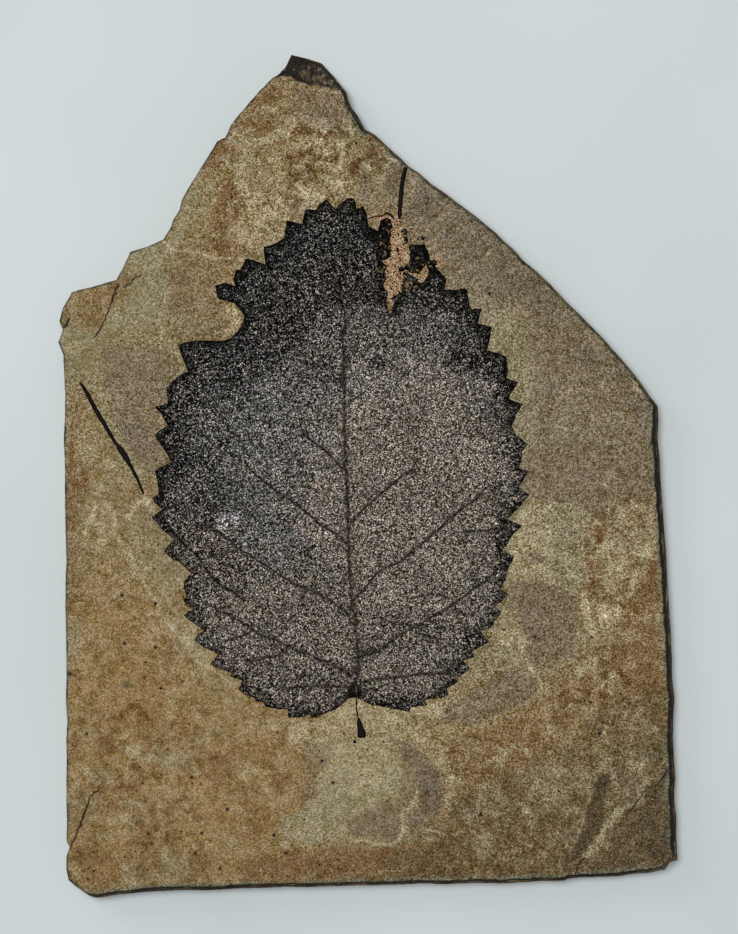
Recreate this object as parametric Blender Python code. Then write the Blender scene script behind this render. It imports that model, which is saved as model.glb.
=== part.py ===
# Fossil leaf plate: a broad, double-toothed leaf kept as a thin film of carbon on a split slab of shale.
# Beside it lie a piece of its stalk and two stray conifer needles.
# The slab lies on its flat underside. The origin is the middle of that face's box, +Y runs to the
# pointed end and +Z is up. Lengths are in millimetres until a mesh is made, in metres.

import math

import bmesh
import bpy
from mathutils import Vector, noise
from mathutils.geometry import delaunay_2d_cdt

METRES = 0.001  # one millimetre

SLAB_THICKNESS = 8.0  # underside to the bedding plane that carries the leaf
SWELL_HEIGHT = 0.42  # how far the bedding plane rises and falls
SWELL_LENGTH = 34.0
RELIEF_STEP = 7.5  # spacing of the points that carry the swell
EDGE_STEP = 5.0  # longest straight run along the broken edge
EDGE_CHIP = 0.22  # how far the broken edge bites in between its corners

CLEARANCE = 0.3  # gap between a film and the bed it lies in
BED_FLOOR = SLAB_THICKNESS - 0.75
FILM_UNDERSIDE = BED_FLOOR + CLEARANCE
FILM_RISE = 0.14  # how far a film stands above the bedding plane
NEEDLE_RISE = 0.22
RIB_RISE = 0.2  # how far a main vein stands above the film
RIB_HALF_WIDTH = 0.5
SCARP_RUN = 0.6  # width of the slope at the edge of a lost flake

# The broken edge seen from above, clockwise from the pointed end.
SLAB_EDGE = [
    (-15.4, 84.5), (-12.0, 83.7), (-9.1, 82.7), (-6.6, 80.0), (-4.2, 76.8), (-3.4, 74.0),
    (-2.1, 72.2), (-0.6, 69.5), (1.6, 68.2), (6.4, 63.8), (10.4, 60.5), (15.2, 56.8),
    (21.2, 52.3), (25.0, 49.2), (29.2, 45.4), (32.8, 41.8), (36.4, 38.5), (39.4, 35.2),
    (42.6, 32.1), (47.0, 27.6), (51.8, 22.2), (54.2, 19.2), (56.4, 16.0), (58.0, 14.0),
    (58.1, 11.2), (58.5, 3.2), (59.8, -16.8), (60.5, -28.8), (61.4, -44.8), (61.3, -56.8),
    (61.6, -60.6), (61.3, -62.8), (61.8, -68.2), (62.0, -76.8), (60.3, -77.3), (59.4, -78.8),
    (56.0, -79.5), (49.4, -80.2), (40.0, -80.6), (39.2, -81.1), (26.4, -81.6), (6.4, -81.8),
    (-12.0, -82.3), (-29.6, -82.8), (-44.6, -83.3), (-49.2, -83.7), (-54.3, -84.5),
    (-55.6, -84.1), (-58.8, -81.8), (-60.0, -80.7), (-60.4, -78.7), (-60.4, -76.1),
    (-59.7, -74.1), (-60.4, -73.0), (-60.4, -64.8), (-60.5, -44.8), (-60.6, -26.0),
    (-60.6, -8.8), (-60.9, 7.2), (-60.9, 21.2), (-61.0, 24.3), (-62.0, 26.7), (-61.1, 29.3),
    (-61.8, 31.0), (-61.1, 33.6), (-59.3, 36.8), (-57.9, 37.3), (-52.8, 38.6), (-50.3, 39.3),
    (-48.9, 42.0), (-47.6, 44.9), (-44.3, 45.9), (-41.0, 47.3), (-39.6, 49.5), (-39.1, 51.2),
    (-37.8, 53.1), (-37.3, 55.2), (-34.9, 59.4), (-31.1, 65.4), (-30.2, 66.9), (-28.6, 67.7),
    (-27.5, 70.1), (-24.9, 73.4), (-21.8, 77.0), (-19.3, 79.4), (-17.8, 80.7), (-16.7, 81.8),
]

# The slab's side, from the top edge down: height, least depth below the top edge, inset from SLAB_EDGE,
# and how much the inset wanders. The split laminae leave two ledges and an undercut foot.
SIDE_LEVELS = [
    (7.45, 0.35, 0.1, 0.3),
    (6.3, 0.9, 0.0, 0.0),
    (5.1, 1.5, 0.1, 0.5),
    (4.8, 1.8, 0.5, 0.9),
    (3.0, 2.7, 0.3, 0.9),
    (2.7, 3.0, 0.9, 1.0),
    (1.1, 4.0, 0.8, 1.0),
    (0.0, 0.0, 1.6, 1.2),
]
TOP_INSET = 0.45  # the top edge's mean distance inside SLAB_EDGE
TOP_INSET_SWING = 0.35  # more to the right and near the viewer, less to the left
SWING_DIRECTION = Vector((0.8, -0.6))

# Where flakes of the top lamina are lost: the upper line of each slope, points past the slab's edge that
# close the area, the drop at the line, and the fall for each millimetre beyond it. A flake lost inside the
# slab has a line that comes back to its start, and no points past the edge.
LOST_FLAKES = {
    "pointed_end": {
        "line": [(-19.3, 79.4), (-15.4, 79.9), (-13.6, 78.6), (-10.0, 77.9), (-6.9, 77.4), (-4.2, 76.8)],
        "past_edge": [(0.0, 86.0), (-20.0, 88.0)],
        "drop": 0.9,
        "fall": 0.22,
    },
    "left_shoulder": {
        "line": [(-50.3, 39.3), (-50.8, 36.0), (-52.2, 32.0), (-54.2, 28.2), (-57.4, 25.6), (-61.0, 24.3)],
        "past_edge": [(-66.0, 24.0), (-66.0, 42.0)],
        "drop": 0.3,
        "fall": 0.03,
    },
    "near_left_corner": {
        "line": [(-60.4, -64.8), (-56.4, -65.6), (-57.2, -68.2), (-58.2, -71.0), (-59.7, -74.1)],
        "past_edge": [(-66.0, -74.0), (-66.0, -64.0)],
        "drop": 0.35,
        "fall": 0.05,
    },
    "near_right_corner": {
        "line": [(61.3, -56.8), (58.2, -60.8), (54.4, -63.6), (52.0, -66.8), (48.4, -70.8), (44.4, -75.4),
                 (42.6, -78.0), (40.0, -80.6)],
        "past_edge": [(40.0, -88.0), (68.0, -88.0), (68.0, -56.0)],
        "drop": 0.25,
        "fall": 0.02,
    },
    "right_of_the_leaf": {
        "line": [(31.4, -21.6), (37.4, -21.4), (40.4, -23.4), (42.4, -28.8), (44.6, -32.8), (40.4, -35.4),
                 (35.4, -37.8), (33.4, -34.4), (31.6, -29.4), (31.4, -21.6)],
        "past_edge": [],
        "drop": 0.2,
        "fall": 0.0,
    },
    "below_the_stalk": {
        "line": [(-4.6, -56.4), (0.8, -55.0), (5.6, -56.2), (7.6, -60.8), (8.4, -66.0), (5.8, -72.0),
                 (0.4, -73.8), (-4.6, -73.6), (-6.0, -70.0), (-3.8, -65.0), (-4.6, -56.4)],
        "past_edge": [],
        "drop": 0.2,
        "fall": 0.0,
    },
}

# The leaf's margin, clockwise from the foot of the midrib: up the left side, over the torn tip, and
# down the right side. A tooth is a point out and a point in.
LEAF_LEFT = [
    (-2.8, -44.1), (-4.0, -44.3), (-5.4, -45.7), (-6.6, -46.6), (-7.8, -46.9), (-10.2, -48.0),
    (-11.3, -48.2), (-11.4, -47.5), (-13.6, -48.0), (-15.9, -48.2), (-16.0, -46.5), (-17.7, -46.5),
    (-20.4, -46.0), (-21.0, -45.0), (-22.5, -44.9), (-22.6, -44.3), (-24.8, -43.4), (-25.9, -42.4),
    (-25.1, -40.7), (-27.4, -40.0), (-27.3, -39.2), (-29.8, -38.4), (-31.5, -37.4), (-29.8, -35.5),
    (-32.6, -34.2), (-34.7, -32.7), (-33.8, -31.3), (-32.7, -30.8), (-35.2, -29.0), (-36.8, -27.8),
    (-35.9, -26.9), (-34.8, -26.7), (-36.5, -25.3), (-37.0, -24.6), (-36.2, -24.0), (-36.8, -22.2),
    (-36.6, -20.9), (-35.3, -19.3), (-37.7, -17.0), (-38.8, -16.8), (-40.8, -14.9), (-39.9, -13.9),
    (-38.7, -12.6), (-41.0, -10.7), (-43.2, -8.2), (-41.0, -6.6), (-42.6, -5.3), (-43.0, -4.4),
    (-41.8, -3.6), (-42.0, -1.2), (-42.6, 1.1), (-41.6, 1.7), (-39.3, 2.8), (-40.5, 5.0),
    (-42.7, 8.2), (-41.6, 9.1), (-40.0, 10.0), (-41.2, 12.4), (-42.6, 13.7), (-40.0, 14.6),
    (-40.2, 17.4), (-38.7, 19.2), (-36.9, 20.6), (-36.0, 20.9), (-36.9, 23.2), (-38.0, 26.1),
    (-36.7, 26.7), (-33.6, 27.1), (-28.8, 27.0), (-27.4, 27.5), (-26.0, 29.0), (-25.0, 30.6),
    (-24.8, 32.0), (-25.8, 33.6), (-27.1, 34.7), (-30.0, 35.4), (-30.6, 38.0), (-28.4, 38.6),
    (-26.5, 38.0), (-26.9, 39.3), (-26.4, 41.2), (-25.5, 41.2), (-24.4, 43.5), (-22.2, 42.9),
    (-20.5, 42.2), (-20.8, 44.8), (-20.9, 45.7), (-18.3, 46.5), (-16.8, 47.6), (-16.3, 51.1),
    (-13.2, 50.3), (-12.7, 52.7), (-12.4, 53.3), (-10.4, 53.2), (-9.8, 54.3), (-8.4, 55.2),
    (-6.5, 53.3), (-5.0, 54.8), (-4.2, 55.4), (-2.8, 55.4), (-2.3, 53.4), (-1.0, 53.9),
    (-0.3, 52.2), (-0.1, 51.0),
]
LEAF_TORN_TIP = [
    (0.2, 49.8), (1.9, 48.8), (2.4, 51.0), (3.4, 51.5), (4.6, 51.2), (4.8, 49.6), (4.4, 47.2),
    (4.6, 45.2), (4.4, 44.0), (2.9, 42.8), (3.7, 42.0), (3.6, 40.8), (3.1, 37.8), (3.8, 35.8),
    (4.7, 33.8), (5.6, 35.6), (6.6, 36.6), (6.8, 38.4), (7.7, 39.0), (9.0, 39.0), (10.2, 38.6),
    (11.3, 38.9), (11.9, 40.4), (12.1, 41.6), (11.6, 42.2), (10.9, 41.4), (10.3, 40.4), (8.8, 40.6),
    (7.4, 41.0), (6.2, 40.8), (6.0, 41.4), (7.0, 42.0), (8.0, 42.4), (8.4, 43.6), (8.2, 46.0),
    (9.6, 46.1), (11.2, 46.3), (11.8, 45.0), (12.6, 42.9), (13.2, 43.4), (13.7, 42.6), (13.4, 41.8),
    (14.0, 41.1),
]
LEAF_RIGHT = [
    (15.6, 39.4), (15.4, 38.0), (15.2, 37.2), (17.4, 37.2), (19.3, 37.5), (19.7, 37.2), (20.0, 35.5),
    (20.5, 33.3), (22.7, 33.4), (21.8, 30.5), (24.6, 29.8), (24.2, 27.0), (23.7, 25.1), (26.4, 24.4),
    (27.6, 23.8), (27.9, 21.2), (27.6, 19.6), (30.0, 18.8), (28.5, 16.6), (28.1, 15.4), (30.9, 14.3),
    (29.4, 12.0), (28.6, 9.8), (29.4, 8.3), (31.9, 6.4), (30.7, 4.9), (30.6, 3.2), (30.0, 1.6),
    (32.0, 1.0), (30.1, -2.2), (32.1, -3.7), (31.2, -4.8), (29.9, -6.4), (27.8, -8.5), (30.6, -9.9),
    (28.5, -12.1), (27.6, -13.8), (26.6, -14.7), (29.1, -16.1), (27.8, -18.8), (27.4, -20.7),
    (26.4, -22.5), (28.0, -23.5), (27.0, -24.6), (25.2, -26.0), (26.6, -27.1), (25.1, -29.0),
    (24.5, -30.2), (22.4, -30.8), (24.0, -33.1), (20.7, -34.9), (21.2, -36.0), (18.9, -36.7),
    (20.3, -38.3), (17.9, -40.2), (17.8, -41.1), (15.7, -42.3), (16.0, -43.6), (15.0, -44.1),
    (11.2, -44.5), (11.8, -45.6), (8.6, -46.1), (8.3, -46.9), (5.3, -46.5), (2.5, -45.9),
    (0.8, -45.7), (-0.2, -45.2), (-1.2, -44.5), (-2.2, -44.2),
]

# Main veins, each from the midrib outwards.
MIDRIB = [
    (-2.4, -43.6), (-2.2, -38.8), (-1.9, -34.8), (-2.6, -28.8), (-3.6, -20.8), (-3.9, -11.2), (-4.4, 1.2),
    (-4.8, 12.2), (-4.8, 22.2), (-5.2, 34.0), (-5.6, 46.0),
]
SIDE_VEINS = [
    [(-2.2, -41.6), (6.4, -40.0), (16.2, -39.0)],
    [(-2.1, -37.0), (2.2, -34.6), (9.4, -30.0), (18.4, -24.3), (23.2, -21.0), (25.2, -18.4)],
    [(-3.0, -25.0), (1.6, -19.6), (8.9, -15.0), (14.4, -10.3), (19.9, -5.6), (24.0, -1.4)],
    [(-3.8, -9.8), (2.2, -3.8), (9.9, 3.2), (17.0, 10.0), (23.0, 16.4)],
    [(-4.6, 6.4), (2.6, 14.0), (11.0, 23.6), (16.0, 29.6)],
    [(-2.3, -42.2), (-9.6, -41.8), (-17.6, -42.4)],
    [(-2.2, -40.0), (-8.6, -37.0), (-16.4, -33.7), (-23.1, -30.3), (-30.1, -26.6), (-33.0, -25.0)],
    [(-2.8, -28.4), (-9.6, -23.6), (-16.6, -20.3), (-22.6, -16.3), (-28.6, -12.0), (-35.0, -9.0)],
    [(-3.8, -13.6), (-9.6, -9.6), (-17.1, -3.8), (-24.6, 3.2), (-34.0, 11.6)],
    [(-4.4, 1.6), (-11.0, 7.6), (-20.0, 16.0), (-30.0, 24.4)],
]

STALK = [
    (-2.0, -47.9), (-1.4, -48.8), (-1.0, -50.0), (-0.4, -51.2), (-0.6, -52.0), (-1.4, -52.2),
    (-2.2, -52.1), (-2.1, -50.8), (-2.3, -49.2),
]
TIP_SPECK = [(6.5, 48.7), (6.8, 49.3), (7.5, 49.4), (7.9, 48.7), (7.6, 48.1), (6.9, 48.0)]

# A needle's middle line, with its half width at each point.
NEEDLE_LEFT = [
    (-57.4, 18.8, 0.2), (-56.0, 16.4, 0.4), (-54.2, 13.0, 0.45), (-51.8, 9.0, 0.4), (-50.4, 6.6, 0.3),
    (-49.4, 5.4, 0.6), (-48.4, 3.8, 0.65), (-47.2, 1.6, 0.45), (-46.0, -0.6, 0.45), (-44.8, -3.6, 0.25),
]
NEEDLE_TOP = [
    (7.3, 60.4, 0.35), (6.9, 58.8, 0.45), (6.6, 57.0, 0.45), (6.4, 54.6, 0.45), (6.3, 52.6, 0.4),
    (6.2, 51.3, 0.25),
]

# Colour (linear red, green, blue) and roughness.
FINISHES = {
    "shale": ((0.24, 0.18, 0.10), 0.85),
    "carbon_film": ((0.045, 0.035, 0.034), 0.6),
    "carbon_fragment": ((0.02, 0.018, 0.018), 0.55),
}


def ground(x, y, seed, length):
    """Smooth noise from about -1 to 1 at that wavelength."""
    return noise.noise(Vector((x / length, y / length, seed)))


def closed(outline):
    """An outline as a line that comes back to its first point."""
    return outline + outline[:1]


def is_inside(point, outline):
    """Whether a point lies in a closed outline."""
    x, y = point
    crossings = False
    for (ax, ay), (bx, by) in zip(outline, outline[1:] + outline[:1]):
        if (ay > y) != (by > y) and x < ax + (y - ay) / (by - ay) * (bx - ax):
            crossings = not crossings
    return crossings


def distance_to_line(point, line):
    """Distance from a point to the nearest stretch of an open line."""
    p = Vector(point[:2])
    nearest = math.inf
    for start, end in zip(line, line[1:]):
        a = Vector(start[:2])
        along = Vector(end[:2]) - a
        share = max(0.0, min(1.0, (p - a).dot(along) / along.length_squared))
        nearest = min(nearest, (p - a - along * share).length)
    return nearest


def surface_height(x, y):
    """Height of the bedding plane, with its swell and its lost flakes."""
    height = SLAB_THICKNESS + SWELL_HEIGHT * ground(x, y, 3.1, SWELL_LENGTH)
    for flake in LOST_FLAKES.values():
        if is_inside((x, y), flake["line"] + flake["past_edge"]):
            beyond = distance_to_line((x, y), flake["line"])
            height -= flake["drop"] * min(1.0, beyond / SCARP_RUN) + flake["fall"] * beyond
    return height


def chipped(edge):
    """The edge anticlockwise, its long runs broken into shorter ones that bite a little into the slab."""
    points = []
    turned = edge[::-1]
    for start, end in zip(turned, turned[1:] + turned[:1]):
        a = Vector(start)
        run = Vector(end) - a
        inwards = Vector((-run.y, run.x)).normalized()
        count = max(1, math.ceil(run.length / EDGE_STEP))
        points.append(a)
        for step in range(1, count):
            point = a + run * (step / count)
            points.append(point + inwards * EDGE_CHIP * abs(ground(point.x, point.y, 9.4, 2.3)) * 2)
    return points


def outward_normals(points):
    """The outward direction at each point of an anticlockwise outline, long enough to move both its edges by one."""
    normals = []
    for i, point in enumerate(points):
        before = (point - points[i - 1]).normalized()
        after = (points[(i + 1) % len(points)] - point).normalized()
        mean = (Vector((before.y, -before.x)) + Vector((after.y, -after.x))).normalized()
        normals.append(mean / max(0.6, mean.dot(Vector((after.y, -after.x)))))
    return normals


def grown(outline, distance):
    """An anticlockwise outline moved outwards by a distance."""
    points = [Vector(p) for p in outline]
    return [tuple(p + n * distance) for p, n in zip(points, outward_normals(points))]


def triangulated(outlines, lines, points):
    """Triangles over all the points that keep every outline and line as edges. Gives coordinates and triangles."""
    coords = []
    edges = []
    for outline in outlines:
        first = len(coords)
        coords += outline
        edges += [(first + i, first + (i + 1) % len(outline)) for i in range(len(outline))]
    for line in lines:
        first = len(coords)
        coords += line
        edges += [(first + i, first + i + 1) for i in range(len(line) - 1)]
    coords += points
    made = delaunay_2d_cdt([Vector(c[:2]) for c in coords], edges, [], 0, 0.02)
    return [(v.x, v.y) for v in made[0]], [tuple(face) for face in made[2]]


def relief_points(outline, step, keep_off, keep_clear, seed):
    """Points about a step apart inside an outline, some way off the lines that already have points."""
    xs = [p[0] for p in outline]
    ys = [p[1] for p in outline]
    points = []
    for row in range(math.ceil((max(ys) - min(ys)) / step)):
        for column in range(math.ceil((max(xs) - min(xs)) / step)):
            x = min(xs) + (column + 0.5 + 0.5 * (row % 2)) * step
            y = min(ys) + (row + 0.5) * step
            x += step * 0.3 * ground(x, y, seed, 5.0)
            y += step * 0.3 * ground(x, y, seed + 7, 5.0)
            if is_inside((x, y), outline):
                if all(distance_to_line((x, y), line) > keep_clear for line in keep_off):
                    points.append((x, y))
    return points


def piece(name, mesh, finish):
    """A named object from a mesh in millimetres, with its own material."""
    bmesh.ops.scale(mesh, vec=(METRES, METRES, METRES), verts=mesh.verts)
    data = bpy.data.meshes.new(name)
    mesh.to_mesh(data)
    mesh.free()
    colour, roughness = FINISHES[finish]
    material = bpy.data.materials.new(f"{name}_{finish}")
    material.use_nodes = True
    shader = material.node_tree.nodes["Principled BSDF"]
    shader.inputs["Base Color"].default_value = (*colour, 1.0)
    shader.inputs["Roughness"].default_value = roughness
    shader.inputs["Metallic"].default_value = 0.0
    data.materials.append(material)
    obj = bpy.data.objects.new(name, data)
    bpy.context.scene.collection.objects.link(obj)
    return obj


def foot_of(crest, area):
    """The lower line of a lost flake's slope, inside the flake's area."""
    closed = crest[0] == crest[-1]
    turns = list(zip(crest, crest[1:], crest[2:]))
    if closed:
        turns.append((crest[-2], crest[0], crest[1]))
    foot = []
    for before, point, after in turns:
        along = (after - before).normalized()
        across = Vector((-along.y, along.x)) * SCARP_RUN
        foot.append(tuple(point + across if is_inside(point + across, area) else point - across))
    return foot + foot[:1] if closed else foot


def scarp_lines(rim):
    """The upper and lower line of each lost flake's slope, the ends at the slab's edge on the rim's own points."""
    lines = []
    for flake in LOST_FLAKES.values():
        crest = [Vector(p) for p in flake["line"]]
        area = flake["line"] + flake["past_edge"]
        if flake["past_edge"]:
            for end in (0, -1):
                crest[end] = min(rim, key=lambda p: (p - crest[end]).length)
        lines.append([tuple(p) for p in crest])
        lines.append(foot_of(crest, area))
    return lines


def make_slab(beds):
    """The slab: a relief top with a flat-floored bed for each film, ledged sides and a flat underside."""
    edge = chipped(SLAB_EDGE)
    normals = outward_normals(edge)
    rim = []
    for point, normal in zip(edge, normals):
        inset = TOP_INSET + TOP_INSET_SWING * normal.normalized().dot(SWING_DIRECTION)
        rim.append(point - normal * inset)
    outline = [tuple(p) for p in rim]
    scarps = scarp_lines(rim)
    keep_off = [closed(outline), *(closed(bed) for bed in beds), *scarps]
    points = [
        p
        for p in relief_points(outline, RELIEF_STEP, keep_off, RELIEF_STEP * 0.35, 1.7)
        if not any(is_inside(p, bed) for bed in beds)
    ]
    coords, triangles = triangulated([outline, *beds], scarps, points)

    mesh = bmesh.new()
    top = [mesh.verts.new((x, y, surface_height(x, y))) for x, y in coords]
    floor = {}
    bed_of_edge = {}
    slab_faces = []
    for triangle in triangles:
        middle = sum((Vector(coords[i]) for i in triangle), Vector((0, 0))) / 3
        if not is_inside(middle, outline):
            continue
        in_bed = any(is_inside(middle, bed) for bed in beds)
        slab_faces.append((triangle, in_bed))
        for a, b in zip(triangle, triangle[1:] + triangle[:1]):
            bed_of_edge[a, b] = in_bed
            if in_bed and a not in floor:
                floor[a] = mesh.verts.new((*coords[a], BED_FLOOR))
    for triangle, in_bed in slab_faces:
        mesh.faces.new([floor[i] if in_bed else top[i] for i in triangle])
    for (a, b), in_bed in bed_of_edge.items():
        if not in_bed and bed_of_edge.get((b, a)):
            mesh.faces.new([top[b], top[a], floor[a], floor[b]])

    ring = [top[i] for i in rim_indices(coords, outline)]
    for height, least_depth, inset, wander in SIDE_LEVELS:
        lower = []
        for point, normal, crest in zip(edge, normals, rim):
            depth = inset + wander * (0.5 + 0.9 * ground(point.x, point.y, height * 1.7, 13.0))
            position = point - normal * max(0.0, depth)
            level = min(height, surface_height(*crest) - least_depth)
            lower.append(mesh.verts.new((*position, level)))
        for i in range(len(ring)):
            j = (i + 1) % len(ring)
            mesh.faces.new([ring[j], ring[i], lower[i], lower[j]])
        ring = lower
    mesh.faces.new(ring[::-1])
    bmesh.ops.delete(mesh, geom=[v for v in mesh.verts if not v.link_faces], context="VERTS")
    return piece("slab", mesh, "shale")


def rim_indices(coords, outline):
    """Where each point of an outline is among the triangulated coordinates."""
    return [min(range(len(coords)), key=lambda i: math.dist(coords[i], point)) for point in outline]


def vein_height(x, y, veins):
    """How far the nearest vein lifts the film there."""
    if not veins:
        return 0.0
    nearest = min(distance_to_line((x, y), vein) for vein in veins)
    return RIB_RISE * max(0.0, 1.0 - nearest / RIB_HALF_WIDTH)


def beside(line, offset):
    """A line moved sideways."""
    moved = []
    for i, point in enumerate(line):
        before = Vector(line[max(0, i - 1)])
        after = Vector(line[min(len(line) - 1, i + 1)])
        along = (after - before).normalized()
        moved.append(tuple(Vector(point) + Vector((-along.y, along.x)) * offset))
    return moved


def make_film(name, outline, rise, finish, veins=()):
    """A thin closed film: a top that follows the bedding plane and its veins, upright edges, a flat back."""
    lines = []
    for vein in veins:
        lines.append(vein)
        for side in (-1, 1):
            lines.append(beside(vein[1:], side * RIB_HALF_WIDTH))
    points = []
    if veins:
        points = relief_points(outline, RELIEF_STEP, [closed(outline), *lines], RELIEF_STEP * 0.3, 5.2)
    coords, triangles = triangulated([outline], lines, points)
    mesh = bmesh.new()
    top = []
    for x, y in coords:
        top.append(mesh.verts.new((x, y, surface_height(x, y) + rise + vein_height(x, y, veins))))
    for triangle in triangles:
        middle = sum((Vector(coords[i]) for i in triangle), Vector((0, 0))) / 3
        if is_inside(middle, outline):
            mesh.faces.new([top[i] for i in triangle])
    ring = [top[i] for i in rim_indices(coords, outline)]
    back = [mesh.verts.new((*point, FILM_UNDERSIDE)) for point in outline]
    for i in range(len(ring)):
        j = (i + 1) % len(ring)
        mesh.faces.new([ring[j], ring[i], back[i], back[j]])
    mesh.faces.new(back[::-1])
    bmesh.ops.delete(mesh, geom=[v for v in mesh.verts if not v.link_faces], context="VERTS")
    return piece(name, mesh, finish)


def needle_outline(middle_line):
    """The anticlockwise outline of a needle from its middle line and half widths."""
    places = [p[:2] for p in middle_line]
    left = []
    right = []
    for i, (x, y, half_width) in enumerate(middle_line):
        before = Vector(places[max(0, i - 1)])
        after = Vector(places[min(len(places) - 1, i + 1)])
        along = (after - before).normalized()
        across = Vector((-along.y, along.x)) * half_width
        left.append(tuple(Vector((x, y)) + across))
        right.append(tuple(Vector((x, y)) - across))
    return right + left[::-1]


def clear_scene():
    for obj in list(bpy.data.objects):
        bpy.data.objects.remove(obj)


def main():
    clear_scene()
    leaf = (LEAF_LEFT + LEAF_TORN_TIP + LEAF_RIGHT)[::-1]
    films = {
        "leaf_blade": leaf,
        "tip_speck": TIP_SPECK[::-1],
        "leaf_stalk": STALK[::-1],
        "needle_left": needle_outline(NEEDLE_LEFT),
        "needle_top": needle_outline(NEEDLE_TOP),
    }
    make_slab([grown(outline, CLEARANCE) for outline in films.values()])
    make_film("leaf_blade", leaf, FILM_RISE, "carbon_film", [MIDRIB, *SIDE_VEINS])
    make_film("tip_speck", films["tip_speck"], FILM_RISE, "carbon_film")
    for name in ("leaf_stalk", "needle_left", "needle_top"):
        make_film(name, films[name], NEEDLE_RISE, "carbon_fragment")


main()
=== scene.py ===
import math
import random

import bmesh
import bpy
import numpy as np
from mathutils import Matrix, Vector, noise
from mathutils.geometry import delaunay_2d_cdt
from mathutils.kdtree import KDTree


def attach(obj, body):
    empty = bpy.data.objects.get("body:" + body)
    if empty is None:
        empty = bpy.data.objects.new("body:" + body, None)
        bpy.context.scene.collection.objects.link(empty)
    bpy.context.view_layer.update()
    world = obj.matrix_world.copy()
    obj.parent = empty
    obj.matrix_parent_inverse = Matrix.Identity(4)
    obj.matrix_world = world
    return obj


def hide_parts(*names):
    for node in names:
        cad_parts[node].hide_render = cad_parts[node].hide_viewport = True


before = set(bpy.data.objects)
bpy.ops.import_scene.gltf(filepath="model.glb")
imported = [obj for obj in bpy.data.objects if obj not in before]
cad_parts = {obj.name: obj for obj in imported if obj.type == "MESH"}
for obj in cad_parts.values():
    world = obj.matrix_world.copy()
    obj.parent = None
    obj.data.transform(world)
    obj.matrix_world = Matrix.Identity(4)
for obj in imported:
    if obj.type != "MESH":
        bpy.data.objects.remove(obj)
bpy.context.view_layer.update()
print("frame loaded:", ", ".join(sorted(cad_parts)))

metre = 0.001  # one millimetre in metres


def linearColour(hexColour):
    channels = [int(hexColour[i : i + 2], 16) / 255 for i in (1, 3, 5)]
    return (*[c / 12.92 if c <= 0.04045 else ((c + 0.055) / 1.055) ** 2.4 for c in channels], 1.0)


def addNode(tree, kind, inputs=None, ramp=None, **settings):
    # settings are the node's own, inputs are socket values or sockets to link, ramp is a list of stops
    # a colour mix has its share at 0, its two colours at 6 and 7, and its result at output 2
    node = tree.nodes.new(kind)
    for name, value in settings.items():
        setattr(node, name, value)
    for key, value in (inputs or {}).items():
        if isinstance(value, bpy.types.NodeSocket):
            tree.links.new(value, node.inputs[key])
        else:
            node.inputs[key].default_value = value
    if ramp:
        stops = node.color_ramp.elements
        for place, colour in ramp[2:]:
            stops.new(place)
        for stop, (place, colour) in zip(stops, ramp):
            stop.position = place
        for stop, (place, colour) in zip(stops, ramp):
            stop.color = linearColour(colour)
    return node


def noiseAt(points, length, seed):
    # smooth noise from about -1 to 1 at that wavelength, for rows of x and y
    return np.array([noise.noise(Vector((x / length, y / length, seed))) for x, y in points])


def resampled(line, step, closedLine=False):
    # points evenly spaced along a line
    corners = np.array(line + line[:1] if closedLine else line, float)
    runs = np.hypot(*np.diff(corners[:, :2], axis=0).T)
    along = np.concatenate([[0], np.cumsum(runs)])
    count = max(2, int(round(along[-1] / step)))
    places = (
        np.linspace(0, along[-1], count, endpoint=False)
        if closedLine
        else np.linspace(0, along[-1], count + 1)
    )
    return np.stack([np.interp(places, along, corners[:, k]) for k in range(corners.shape[1])], axis=1)


def pointTree(points):
    # a tree that finds the nearest of those points
    tree = KDTree(len(points))
    for i, (x, y) in enumerate(points):
        tree.insert((x, y, 0), i)
    tree.balance()
    return tree


def distanceTo(points, line, step=0.08):
    # distance from each point to a line, near enough for shading and relief
    tree = pointTree(resampled([tuple(p) for p in line], step)[:, :2])
    return np.array([tree.find((x, y, 0))[2] for x, y in points])


def insideOutline(points, outline):
    # which points lie in a closed outline
    x, y = points[:, 0], points[:, 1]
    found = np.zeros(len(points), bool)
    for (ax, ay), (bx, by) in zip(outline, [*outline[1:], outline[0]]):
        if ay != by:
            found ^= ((ay > y) != (by > y)) & (x < ax + (y - ay) / (by - ay) * (bx - ax))
    return found


def smoothStep(values, low, high):
    t = np.clip((values - low) / (high - low), 0, 1)
    return t * t * (3 - 2 * t)


def honeycomb(outline, step, wobble, seed):
    # evenly spread points over an outline's box, each a little off its place
    low, high = np.min(outline, axis=0), np.max(outline, axis=0)
    rows = np.arange(low[1], high[1], step * 0.866)
    points = []
    for i, y in enumerate(rows):
        xs = np.arange(low[0] + (i % 2) * step / 2, high[0], step)
        points.append(np.stack([xs, np.full(len(xs), y)], axis=1))
    points = np.concatenate(points)
    shaken = np.random.default_rng(seed).uniform(-wobble, wobble, points.shape) * step
    return points + shaken


def triangulated(outline, points):
    # triangles over an outline and the points in it; the outline's own points come first
    count = len(outline)
    edges = [(i, (i + 1) % count) for i in range(count)]
    made = delaunay_2d_cdt([Vector(p) for p in (*outline, *points)], edges, [], 1, 0.0005)
    return np.array([tuple(v) for v in made[0]]), made[2], made[3]


def mergedCopy(nodeName):
    # a copy of a CAD node's mesh in millimetres, its loose triangles joined
    mesh = bmesh.new()
    mesh.from_mesh(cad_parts[nodeName].data)
    bmesh.ops.scale(mesh, vec=(1 / metre,) * 3, verts=mesh.verts)
    bmesh.ops.remove_doubles(mesh, verts=mesh.verts, dist=0.002)
    mesh.verts.ensure_lookup_table()
    return mesh


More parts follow.
